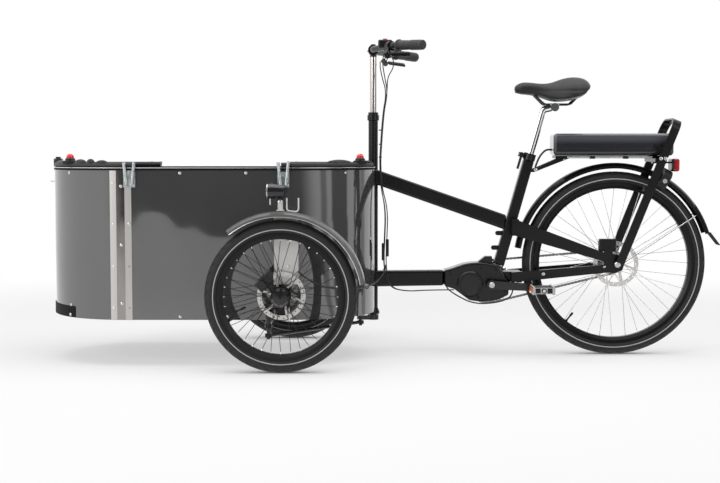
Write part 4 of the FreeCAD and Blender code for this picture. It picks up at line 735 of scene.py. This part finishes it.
rubber_soft = moulding("rubber_soft", (0.014, 0.014, 0.014), 0.55, 0.00012)
black_webbing = surface("webbing", weave, (0.010, 0.010, 0.011), (0.030, 0.030, 0.032), 0.72, 0.15, None,
                        weave, 0.0004, Sheen_Weight=0.3)
RAIL_R, RAIL_Z, RAIL_OUT = 0.0085, 0.6785, 0.282
bm = bmesh.new()
for end, way, leg, stop in ((FRONT_END, -1, 0.037, 90), (REAR_END, 1, 0.028, 78)):
    for side in (LEFT, RIGHT):
        x = end - way * leg
        section = [bm.verts.new((x, side * (RAIL_OUT + a), RAIL_Z + b)) for a, b in circle(RAIL_R, 12)]
        line = drawn_out(bm, joined(bm, section), (way * leg, 0, 0))
        angle = -side * way * radians(stop)
        bmesh.ops.spin(bm, geom=line, cent=(end, 0, 0), axis=(0, 0, 1), angle=angle, steps=20)
bmesh.ops.remove_doubles(bm, verts=bm.verts, dist=1e-5)
bmesh.ops.holes_fill(bm, edges=bm.edges)
rails = piece("rim_rails", bm, "frame", "rubber", rubber_soft)
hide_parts("harness")

bm = bmesh.new()
# rolled folds of strap lying on the rail on the buckle's side: end, first and last angle, thickness
FOLDS = ((FRONT_END, 11.5, 19.5, 0.0085), (FRONT_END, 21.5, 27, 0.0115), (FRONT_END, 28.5, 38, 0.0105),
         (FRONT_END, 52, 70, 0.0075), (REAR_END, 27, 46, 0.0095), (REAR_END, 64, 76, 0.0075))
SHARES = [i / 12 for i in range(13)]
for end, first, last, fat in FOLDS:
    lift = Vector((0, 0, 0.004 + fat / 2))
    a, b = (end_face(end, degrees, LEFT, RAIL_Z, RAIL_OUT)[0] + lift for degrees in (first, last))
    long = (b - a).length
    roll = [(long * s, fat * sin(pi * (0.06 + 0.88 * s)) ** 0.6) for s in SHARES]
    lathe(bm, [(0, 0)] + roll + [(long, 0)], a, b - a, 16)
bmesh.ops.remove_doubles(bm, verts=bm.verts, dist=1e-6)
# straps hanging down the inner walls to the benches
STRAP_WIDE, STRAP_LONG, STRAP_THICK, STRAP_MID, WALL_INSIDE = 0.038, 0.278, 0.002, 0.520, 0.2805
RIPPLE_HIGH, RIPPLES = 0.0016, 46
UP = Vector((0, 0, 1))
for end in (FRONT_END, REAR_END):
    for side in (LEFT, RIGHT):
        for degrees in (20, 68):
            at, out = end_face(end, degrees, side, STRAP_MID, WALL_INSIDE)
            grid = bmesh.ops.create_grid(bm, x_segments=2, y_segments=28, size=0.5)["verts"]
            bmesh.ops.scale(bm, verts=grid, vec=(STRAP_WIDE, STRAP_LONG, 1))
            for vert in grid:
                vert.co.z = RIPPLE_HIGH * sin(vert.co.y * RIPPLES + degrees)
            turn = Matrix((out.cross(UP), UP, out)).transposed().to_4x4()
            bmesh.ops.transform(bm, verts=grid, matrix=Matrix.Translation(at) @ turn)
            faces = list({face for vert in grid for face in vert.link_faces})
            bmesh.ops.solidify(bm, geom=faces, thickness=STRAP_THICK)
piece("harness_straps", bm, "frame", "webbing", black_webbing, sharp=50)


def rounded_box(bm, low, high, round_r):
    low, high = Vector(low), Vector(high)
    box = block(bm, (low + high) / 2, high - low)
    edges = list({edge for vert in box for edge in vert.link_edges})
    bmesh.ops.bevel(bm, geom=edges, offset=round_r, offset_type="OFFSET", affect="EDGES", segments=3,
                    profile=0.5, material=-1)


COLLAR = [(0.0148, 0.0184), (0.0205, 0.0168), (0.0228, 0.0150), (0.0228, 0.0136), (0.0148, 0.0136)]
bm = bmesh.new()
for end, degrees in ((FRONT_END, 44), (REAR_END, 57)):
    at = end_face(end, degrees, LEFT, RAIL_Z, RAIL_OUT)[0]
    rounded_box(bm, at + Vector((-0.024, -0.019, 0.002)), at + Vector((0.024, 0.019, 0.0148)), 0.004)
    lathe(bm, COLLAR, at, UP, 28, True)
    # tongue of the belt in its slot
    rounded_box(bm, at + Vector((0.020, -0.012, 0.006)), at + Vector((0.038, 0.012, 0.012)), 0.002)
# catch at the middle of the nose
rounded_box(bm, (-1.178, -0.016, 0.671), (-1.150, 0.016, 0.700), 0.004)
rounded_box(bm, (-1.172, -0.011, 0.696), (-1.156, 0.011, 0.706), 0.003)
piece("buckle_cases", bm, "frame", "black_plastic", black_nylon)

button_red = surface("button_red", cloud(40.0, 2.0), (0.55, 0.012, 0.018), (0.70, 0.022, 0.028), 0.16, 0.1,
                     cloud(300.0, 1.0), Coat_Roughness=0.05)
dress(button_red, "buckle_button_front", "buckle_button_rear", "control_button")

# Steering column: a chromed stem tube in a black head tube, turned by a wide bar in a black clamp.
# Below the frame it ends in a forged arm.
STEM_CHROME = ((0.40, 0.37, 0.355), (0.50, 0.47, 0.455), 0.10, 1.0)
CLAMP_LOW, ARM_TOP = 1.058, 0.150
stem_mix = split_finish("stem", lambda x, y, z: (z > CLAMP_LOW) + (z < ARM_TOP), STEM_CHROME, BLACK)
dress(stem_mix, "steering_stem")
dress(black_nylon, "bar_controls")
BAR_X, CLAMP_HALF, CLAMP_SIDE, CLAMP_Z = -0.043, 0.0185, 0.016, 1.081
dress(dark_alloy, "brake_lever_left", "brake_lever_right")
bm = bmesh.new()
for side in (LEFT, RIGHT):
    for way in (1, -1):
        screw_head(bm, (BAR_X + way * CLAMP_HALF, side * CLAMP_SIDE, CLAMP_Z), (way, 0, 0), 0.0042)
bright("clamp_screws", bm, "steering")

# Grips: tapered rubber sleeves with ribs at their outer half, a flange inside and a round plug in the end.
# They are pushed on the swept bar ends and turn with it.
outline = [(0, 0.0112), (0, 0.0190), (0.003, 0.0200), (0.007, 0.0200), (0.010, 0.0168)]
for k in range(5):
    at = 0.012 + k * 0.009
    outline += [(at, 0.0166 - 0.0002 * k), (at + 0.0045, 0.0170 - 0.0002 * k)]
for k in range(5):
    at = 0.060 + k * 0.0095
    outline += [(at, 0.0158), (at + 0.002, 0.0172), (at + 0.0075, 0.0172)]
outline += [(0.1085, 0.0166), (0.113, 0.0166), (0.1155, 0.0150), (0.1155, 0.0118), (0.1172, 0.0112),
            (0.1172, 0)]
bm = bmesh.new()
for side in (LEFT, RIGHT):
    inner, outer = Vector((0.025, side * 0.190, 1.084)), Vector((0.120, side * 0.285, 1.078))
    line = (outer - inner).normalized()
    lathe(bm, outline, inner + line * 0.020, line, 40)
grip_piece = piece("rubber_grips", bm, "steering", "rubber", rubber_soft)
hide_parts("grips")


# Cables: two brake hoses and the motor's lead, black, leaving the bar in loose bows and tied to the column.
# Below they hang behind the head tube, meet in two moulded couplings and run under the frame to the motor.
def hose(name, route, radius, body, finish, bend=None):
    curve = bpy.data.curves.new(name + "_route", "CURVE")
    curve.dimensions = "3D"
    spline = curve.splines.new("NURBS")
    spline.points.add(len(route) - 1)
    for point, at in zip(spline.points, route):
        point.co = (*at, 1)
    spline.order_u = 3
    spline.use_endpoint_u = True
    spline.resolution_u = 10
    curve.bevel_depth = radius
    curve.bevel_resolution = 3
    curve.use_fill_caps = True
    holder = bpy.data.objects.new(name + "_route", curve)
    data = bpy.data.meshes.new_from_object(holder)
    data.name = name
    bpy.data.objects.remove(holder)
    made = placed(name, data, None if bend else body, "rubber", finish, sharp=60)
    if bend:
        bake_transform(made)
    return made


jacket = moulding("cable_jacket", (0.012, 0.012, 0.012), 0.36, 0.00003)
TIE_Z, CABLE_R, LEAD_R = 0.700, 0.0019, 0.0024
CORES = ((0, 0.0021), (-0.0019, -0.0011), (0.0019, -0.0011))
BUNDLE = Vector((-0.018, -0.0263, 0))
COLUMN_BEND = ("frame", "steering", (-0.018, -0.026, TIE_Z), (-0.018, -0.026, 1.020))
BOWS = (((-0.006, -0.178, 1.060), (-0.030, -0.140, 1.058), (0.022, -0.085, 1.060), (0.030, -0.060, 1.020),
         (0.006, -0.040, 0.985)),
        ((-0.006, 0.178, 1.060), (-0.020, 0.130, 1.048), (-0.016, 0.060, 1.040), (-0.020, -0.020, 1.030),
         (-0.014, -0.034, 0.990)),
        ((-0.004, -0.128, 1.078), (-0.012, -0.110, 1.045), (-0.010, -0.070, 1.020), (-0.004, -0.040, 0.990)))
GATHER = ((0.024, -0.008, 0.930), (0.008, -0.002, 0.850), (0, 0, TIE_Z))
HANG = ((0, 0.610), (0.022, 0.520), (0.018, 0.410), (0.014, 0.320), (0.032, 0.240), (0.100, 0.227),
        (0.160, 0.232), (0.262, 0.232))
SWAY, COWL_INSET = 0.0035, 0.006
for k, (bow, (dx, dy)) in enumerate(zip(BOWS, CORES)):
    core = BUNDLE + Vector((dx, dy, 0))
    upper = [Vector(p) for p in bow] + [core + Vector(p) for p in GATHER]
    hose("bar_cable_%d" % k, upper, CABLE_R, None, jacket, COLUMN_BEND)
    lower = [core + Vector((0, 0, TIE_Z))]
    for step, (away, z) in enumerate(HANG):
        sway = SWAY * (k - 1) if 0 < step < 4 else 0
        inward = COWL_INSET if step == len(HANG) - 1 else 0
        lower.append(core + Vector((away + sway, inward, z)))
    hose("frame_cable_%d" % k, lower, CABLE_R, "frame", jacket)
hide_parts("steering_cables")
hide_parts("frame_cables")
bm = bmesh.new()
for x, low, high in ((-0.0075, 0.338, 0.400), (0.007, 0.352, 0.414)):
    rounded_box(bm, (x - 0.0055, -0.0345, low), (x + 0.0055, -0.0225, high), 0.003)
piece("cable_couplings", bm, "frame", "black_plastic", black_nylon)
TIE_BAND = [(-0.002, 0.0046), (-0.002, 0.0056), (0.002, 0.0056), (0.002, 0.0046)]
bm = bmesh.new()
for z in (0.705, 0.750, 0.800):
    lathe(bm, TIE_BAND, BUNDLE + Vector((0, 0, z)), UP, 16, True)
tie = piece("cable_ties", bm, None, "rubber", jacket)
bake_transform(tie)
under_motor = [(0.216, -0.030, 0.262), (0.212, -0.043, 0.244), (0.250, -0.046, 0.216), (0.310, -0.046, 0.186),
               (0.380, -0.046, 0.186), (0.440, -0.046, 0.202), (0.456, -0.042, 0.235), (0.452, -0.030, 0.262)]
hose("motor_lead", under_motor, LEAD_R, "frame", jacket)
KNUCKLE_ROUTE = ((0.004, 0.026, 0.318), (-0.010, 0.060, 0.275), (-0.080, 0.200, 0.252),
                 (-0.190, 0.305, 0.262), (-0.262, 0.345, 0.300), (-0.286, 0.372, 0.318))
for side, where in SIDES:
    line = [(x, side * y, z) for x, y, z in KNUCKLE_ROUTE]
    hose("knuckle_hose_" + where, line, LEAD_R, None, jacket, ("frame", "knuckle_" + where, line[1], line[4]))

# Motor: a mid drive in a black moulded cowl bolted under the seat tube, with a round cover on its left side.
# The cover has no print; its ribs run slantwise inside a narrow glossy ring.
dress(moulding("cowl", (0.007, 0.0065, 0.007), 0.16, 0.000008, 0.32), "motor")
COVER, SLANT = Vector((0.301, -0.046, 0.255)), radians(45)
COVER_RING = [(-0.0004, 0.0344), (0.0014, 0.0344), (0.0014, 0.0328), (-0.0004, 0.0328)]
RIB_STEP, RIB_REACH, RIB_HIGH, RIB_WIDE, RIB_LIFT = 0.0038, 0.0322, 0.0014, 0.0016, 0.0004
bm = bmesh.new()
lathe(bm, COVER_RING, COVER, (0, -1, 0), 48, True)
for k in range(-8, 9):
    away = k * RIB_STEP
    half = math.sqrt(max(0.0, RIB_REACH ** 2 - away ** 2))
    at = COVER + Vector((-away * sin(SLANT), -RIB_LIFT, away * cos(SLANT)))
    block(bm, at, Vector((2 * half, RIB_HIGH, RIB_WIDE)), Matrix.Rotation(-SLANT, 3, "Y"))
gloss_ribs = moulding("gloss_ribs", (0.010, 0.010, 0.011), 0.16, 0.00002)
piece("cover_ribs", bm, "frame", "black_plastic", gloss_ribs)
COWL_FACE = 0.040
bm = bmesh.new()
side_screws(bm, COWL_FACE, 0.0048, (0.232, 0.292), (0.262, 0.238), (0.340, 0.312), (0.424, 0.232),
            (0.392, 0.309), (0.330, 0.207))
piece("motor_screws", bm, "frame", "black_plastic", satin_black)

# Cranks and chain ring: forged arms in black with a bright bolt in each end, and a steel ring of 38 teeth.
# The pedal axles are plain ground steel screwed into the arms.
PEDAL_AXLE_FROM, CRANK_END = 0.0855, 0.085
dress(split_finish("crank", lambda x, y, z: y.absolute() > PEDAL_AXLE_FROM, BLACK, STEEL), "crank_arms")
oiled_steel = brushed("oiled_steel", (0.16, 0.15, 0.145), (0.34, 0.33, 0.32), 0.28, (6, 6, 6))
dress(oiled_steel, "chainring", "rear_sprocket")
CRANK_MID = Vector((0.3745, 0, 0.255))
CRANK_BOLT = [(0, 0.0100), (0.0018, 0.0100), (0.0030, 0.0088), (0.0030, 0.0052), (0.0010, 0.0052),
              (0.0010, 0)]
bm = bmesh.new()
for side in (LEFT, RIGHT):
    lathe(bm, CRANK_BOLT, CRANK_MID + Vector((0, side * CRANK_END, 0)), (0, side, 0), 24)
bright("crank_bolts", bm, "crankset")

# Pedals: flat pedals of grey cast alloy on ground axles, with an orange reflector front and back.
# The side rails are ribbed on top so that a sole does not slip.
ORANGE = ((0.80, 0.16, 0.010), (0.90, 0.24, 0.020), 0.12, 0.0)
PEDALS = {"left": (0.54418, 0.24462), "right": (0.20482, 0.26538)}
REFLECTOR_FROM, RAIL_AWAY, STUD_UP, FIRST_STUD, STUD_STEP = 0.0391, 0.0345, 0.0138, 0.097, 0.0112
END_CAP = [(-0.002, 0.0088), (0.0010, 0.0088), (0.0016, 0.0070), (0.0016, 0)]
PAD_AWAY, PAD_HALF, PAD_THICK, PAD_FACE, PEDAL_END = 0.0205, 0.0085, 0.0009, 0.1835, 0.184
for side, where in SIDES:
    px, pz = PEDALS[where]
    grey = split_finish("pedal_" + where, lambda x, y, z: (x - px).absolute() > REFLECTOR_FROM, GREY_ALLOY,
                        ORANGE)
    dress(grey, "pedal_" + where)
    bm = bmesh.new()
    for way in (-1, 1):
        for k in range(8):
            for top in (-1, 1):
                at = (px + way * RAIL_AWAY, side * (FIRST_STUD + k * STUD_STEP), pz + top * STUD_UP)
                turn = Matrix.Rotation(0 if top > 0 else pi, 4, "X")
                bmesh.ops.create_cone(bm, cap_ends=True, segments=8, radius1=0.0032, radius2=0.0018,
                                      depth=0.0022, matrix=Matrix.Translation(at) @ turn)
    piece("pedal_studs_" + where, bm, "pedal_" + where, "alloy", grey)
    bm = bmesh.new()
    lathe(bm, END_CAP, (px, side * PEDAL_END, pz), (0, side, 0), 24)
    for way in (-1, 1):
        pad = Vector((px + way * PAD_AWAY, side * PAD_FACE, pz))
        reach = Vector((PAD_HALF, PAD_THICK, PAD_HALF))
        rounded_box(bm, pad - reach, pad + reach, 0.0006)
    piece("pedal_end_" + where, bm, "pedal_" + where, "black_plastic", black_nylon)

# Chain: half-inch roller chain, dark with oil, from the ring to the sprocket on the rider's right.
# Narrow inner links with rollers take turns with wide outer links riveted over them.
PITCH, CHAIN_Y = 0.0127, 0.048
RING_R, COG_R = 0.0769, 0.0426
span = REAR_AXLE - CRANK_MID
gap = math.hypot(span.x, span.z)
tilt = math.atan2(span.z, span.x)
lean_in = math.asin((RING_R - COG_R) / gap)
run = math.sqrt(gap ** 2 - (RING_R - COG_R) ** 2)
top, low = tilt + pi / 2 - lean_in, tilt - pi / 2 + lean_in
# a straight run and the arc after it: wheels it leaves and meets with their radii, bearing, length of the arc
HALVES = ((CRANK_MID, RING_R, REAR_AXLE, COG_R, top, COG_R * (pi - 2 * lean_in)),
          (REAR_AXLE, COG_R, CRANK_MID, RING_R, low, RING_R * (pi + 2 * lean_in)))
chain_long = sum(run + half[-1] for half in HALVES)
LINKS = 2 * round(chain_long / PITCH / 2)


def chain_point(s):
    # a place on the chain's line, walked along the top run, round the sprocket, back and round the ring
    s = s % chain_long
    for first, r1, last, r2, a, arc in HALVES:
        if s <= run:
            return (first + ray(a) * r1).lerp(last + ray(a) * r2, s / run)
        s -= run
        if s <= arc:
            break
        s -= arc
    return last + ray(a - s / r2) * r2


def link_plate(bm, a, b, y, thick, high):
    # waisted side plate between two pins
    along = (b - a).normalized()
    up = Vector((-along.z, 0, along.x))
    rim = []
    for centre, first in ((b, 90), (a, 270)):
        for k in range(7):
            turn = radians(first - 180 * k / 6)
            rim.append(centre + along * cos(turn) * high + up * sin(turn) * high)
        rim.append((a + b) / 2 + (-1 if centre is b else 1) * up * high * 0.72)
    face = bm.faces.new([bm.verts.new(p + Vector((0, y, 0))) for p in rim])
    made = bmesh.ops.extrude_face_region(bm, geom=[face])["geom"]
    bmesh.ops.translate(bm, verts=only(bmesh.types.BMVert, made), vec=(0, thick, 0))


INNER_PLATE, OUTER_PLATE, PLATE_HALF = (0.0018, 0.0009), (0.0028, 0.0008), 0.0042
PIN = [(-0.0037, 0), (-0.0037, 0.0016), (0.0037, 0.0016), (0.0037, 0)]
ROLLER = [(-0.0017, 0.0017), (-0.0017, 0.0038), (0.0017, 0.0038), (0.0017, 0.0017)]
bm = bmesh.new()
step = chain_long / LINKS
for k in range(LINKS):
    a, b = chain_point(k * step), chain_point((k + 1) * step)
    near, thick = INNER_PLATE if k % 2 else OUTER_PLATE
    for y in (CHAIN_Y + near, CHAIN_Y - near - thick):
        link_plate(bm, a, b, y, thick, PLATE_HALF)
    at = a + Vector((0, CHAIN_Y, 0))
    lathe(bm, PIN, at, (0, 1, 0), 8)
    lathe(bm, ROLLER, at, (0, 1, 0), 12, True)
links = piece("chain_links", bm, "frame", "drive_steel", oiled_steel)
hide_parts("chain")

# Rear fender: black pressed steel with a flared tail, held by two bent wire stays of chromed steel.
# Both lips are rolled over a wire, and the whole pressing is sprayed gloss black.
CHROME = ((0.72, 0.73, 0.75), (0.82, 0.83, 0.84), 0.05, 1.0)
GLOSS_BLACK = ((0.004, 0.004, 0.005), (0.007, 0.007, 0.008), 0.14, 0.0)
FENDER_HALF, TAIL_X = 0.0304, 1.10


def fender_stays(x, y, z):
    return (y.absolute() > FENDER_HALF) * (x < TAIL_X)


rear_gloss = split_finish("rear_fender", fender_stays, GLOSS_BLACK, CHROME, 0.22, lambda x, y, z: x > TAIL_X)
dress(rear_gloss, "rear_fender")
lip_beads("rear_fender_lips", "frame", REAR_AXLE, 0.3385, 0.0300, 10, 161, "gloss_black", satin_black)

# Tail lamp and ring lock: the lamp is bolted under the carrier, a black moulding with a red lens at its back.
# The lock is a black moulded case on two ears of the rack, with a plated keyhole.
lamp_red = ((0.36, 0.006, 0.010), (0.50, 0.012, 0.016), 0.08, 0.0)
RED_FROM = 1.0225
dress(split_finish("tail_lamp", lambda x, y, z: x > RED_FROM, GLOSS, lamp_red), "tail_lamp")
dress(moulding("lock_case", (0.013, 0.013, 0.014), 0.40, shine=0.3), "ring_lock")
KEYHOLE = [(0, 0.0085), (0.002, 0.0080), (0.002, 0.0042), (0.0008, 0.0042), (0.0008, 0)]
bm = bmesh.new()
lathe(bm, KEYHOLE, (0.985, -0.052, 0.620), (0, -1, 0), 20)
bright("lock_keyhole", bm, "frame")

# Battery: a long extruded case, dark blue-grey and glossy, with a moulded cap at each end and a side lock.
# It slides on the carrier over a bright rod, and a fine parting line runs round its lower third.
PAINTED_HIGHLIGHT_LOW, PAINTED_HIGHLIGHT_HIGH, PARTING_Z, CAPS_X = 0.748, 0.772, 0.736, (0.618, 0.992)


def battery_case():
    made, shader, place = new_finish("battery_case", Coat_Weight=0.4, Coat_Roughness=0.05)
    x, y, z = spread(place)
    tone = cloudy(place, 5.0, 3.0, (0.3, 1, 3))
    # above this soft band the case is painted a lighter tone: a painted highlight along its upper part
    band = z.smooth(PAINTED_HIGHLIGHT_LOW, PAINTED_HIGHLIGHT_HIGH, 0.0, 1.0)
    base = tone.mix((0.013, 0.0135, 0.017), (0.019, 0.020, 0.025))
    painted_highlight_tone = tone.mix((0.066, 0.069, 0.082), (0.082, 0.086, 0.100))
    band.mix(base, painted_highlight_tone).into(shader, "Base Color")
    (0.13 + tone * 0.1).into(shader, "Roughness")
    parting = (z - PARTING_Z).absolute() < 0.0008
    front_cap, rear_cap = ((x - cap).absolute() < 0.0007 for cap in CAPS_X)
    bumped(shader, 1 - parting.larger(front_cap.larger(rear_cap)), 0.0012)
    return made


dress(battery_case(), "battery")
LOCK = [(0, 0.0098), (0.0022, 0.0092), (0.0026, 0.0060), (0.0012, 0.0058), (0.0012, 0)]
bm = bmesh.new()
lathe(bm, LOCK, (0.948, -0.0548, 0.739), (0, -1, 0), 24)
piece("battery_lock", bm, "battery", "black_plastic", black_nylon)
ROD_R, ROD_LONG = 0.0034, 0.300
bm = bmesh.new()
lathe(bm, [(0, 0), (0, ROD_R), (ROD_LONG, ROD_R), (ROD_LONG, 0)], (0.640, -0.047, 0.7045), (1, 0, 0), 16)
bright("carrier_rod", bm, "frame")
bm = bmesh.new()
for x in (0.729, 0.846):
    rounded_box(bm, (x - 0.010, -0.0525, 0.6985), (x + 0.010, -0.0375, 0.7085), 0.0025)
piece("rod_clips", bm, "frame", "black_plastic", black_nylon)
lead = [(0.5905, -0.024, 0.730), (0.572, -0.026, 0.734), (0.552, -0.027, 0.716), (0.539, -0.026, 0.694),
        (0.531, -0.0235, 0.668)]
hose("battery_lead", lead, 0.0036, "frame", jacket)

# Seat: a chromed layback post in a black clamp collar, with a quick lever.
# Black steel rails under the saddle sit in the post's head.
dress(black_nylon, "seat_clamp", "seat_clamp_lever")
HEAD = Vector((0.598, 0, 0.880))
HEAD_LONG, HEAD_WIDE, HEAD_HIGH = 0.0152, 0.0165, 0.0153


def rail_black(x, y, z):
    # the rails stand clear of the chromed head
    clear = ((x - HEAD.x).absolute() > HEAD_LONG) * (y.absolute() > HEAD_WIDE)
    return ((z > HEAD.z + 0.004) * clear).larger(z > HEAD.z + HEAD_HIGH)


dress(split_finish("post", rail_black, CHROME, BLACK), "seatpost")


# Saddle: foam on a moulded base, covered with one piece of smooth dark leatherette drawn tight over the edge.
# The foam swells either side of a shallow channel, and the cover sinks at its welded edge.
def worn_pores(place):
    return cloudy(place, 14.0, 4.0) * 0.14 + cells(520.0)(place) * 0.08


leatherette = surface("leatherette", cloud(14.0, 4.0), (0.010, 0.010, 0.011), (0.017, 0.017, 0.019), 0.30,
                      1.0, worn_pores, cells(520.0), 0.00025, Sheen_Weight=0.06, Specular_IOR_Level=0.26)
saddle_node = nodes["saddle"]
bm = bmesh.new()
bm.from_mesh(saddle_node.data)
bmesh.ops.transform(bm, verts=bm.verts, matrix=saddle_node.matrix_world)
bmesh.ops.remove_doubles(bm, verts=bm.verts, dist=1e-5)
blank = added("saddle_blank", mesh_of("saddle_blank", bm))
foam = blank.modifiers.new("foam", "REMESH")
foam.mode = "VOXEL"
foam.voxel_size = 0.0045
soft = blank.modifiers.new("soft", "SMOOTH")
soft.factor = 0.5
soft.iterations = 5
cover_data = bpy.data.meshes.new_from_object(blank.evaluated_get(bpy.context.evaluated_depsgraph_get()))
bpy.data.objects.remove(blank)
bm = bmesh.new()
bm.from_mesh(cover_data)
CHANNEL_HALF, CHANNEL_DEEP, EDGE_Z, EDGE_HALF, EDGE_SUNK = 0.016, 0.0055, 0.056, 0.004, 0.0016


def ramp(value):
    return min(1.0, max(0.0, value))


for vert in bm.verts:
    x, y, z = vert.co - HEAD
    channel = math.exp(-(y / CHANNEL_HALF) ** 2) * ramp((x + 0.110) / 0.06) * ramp((0.130 - x) / 0.05)
    vert.co.z -= CHANNEL_DEEP * channel * max(0.0, vert.normal.z)
    vert.co -= vert.normal * EDGE_SUNK * math.exp(-((z - EDGE_Z) / EDGE_HALF) ** 2)
cover = piece("saddle_cover", bm, "seatpost", "saddle_cover", leatherette, sharp=70)
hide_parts("saddle")
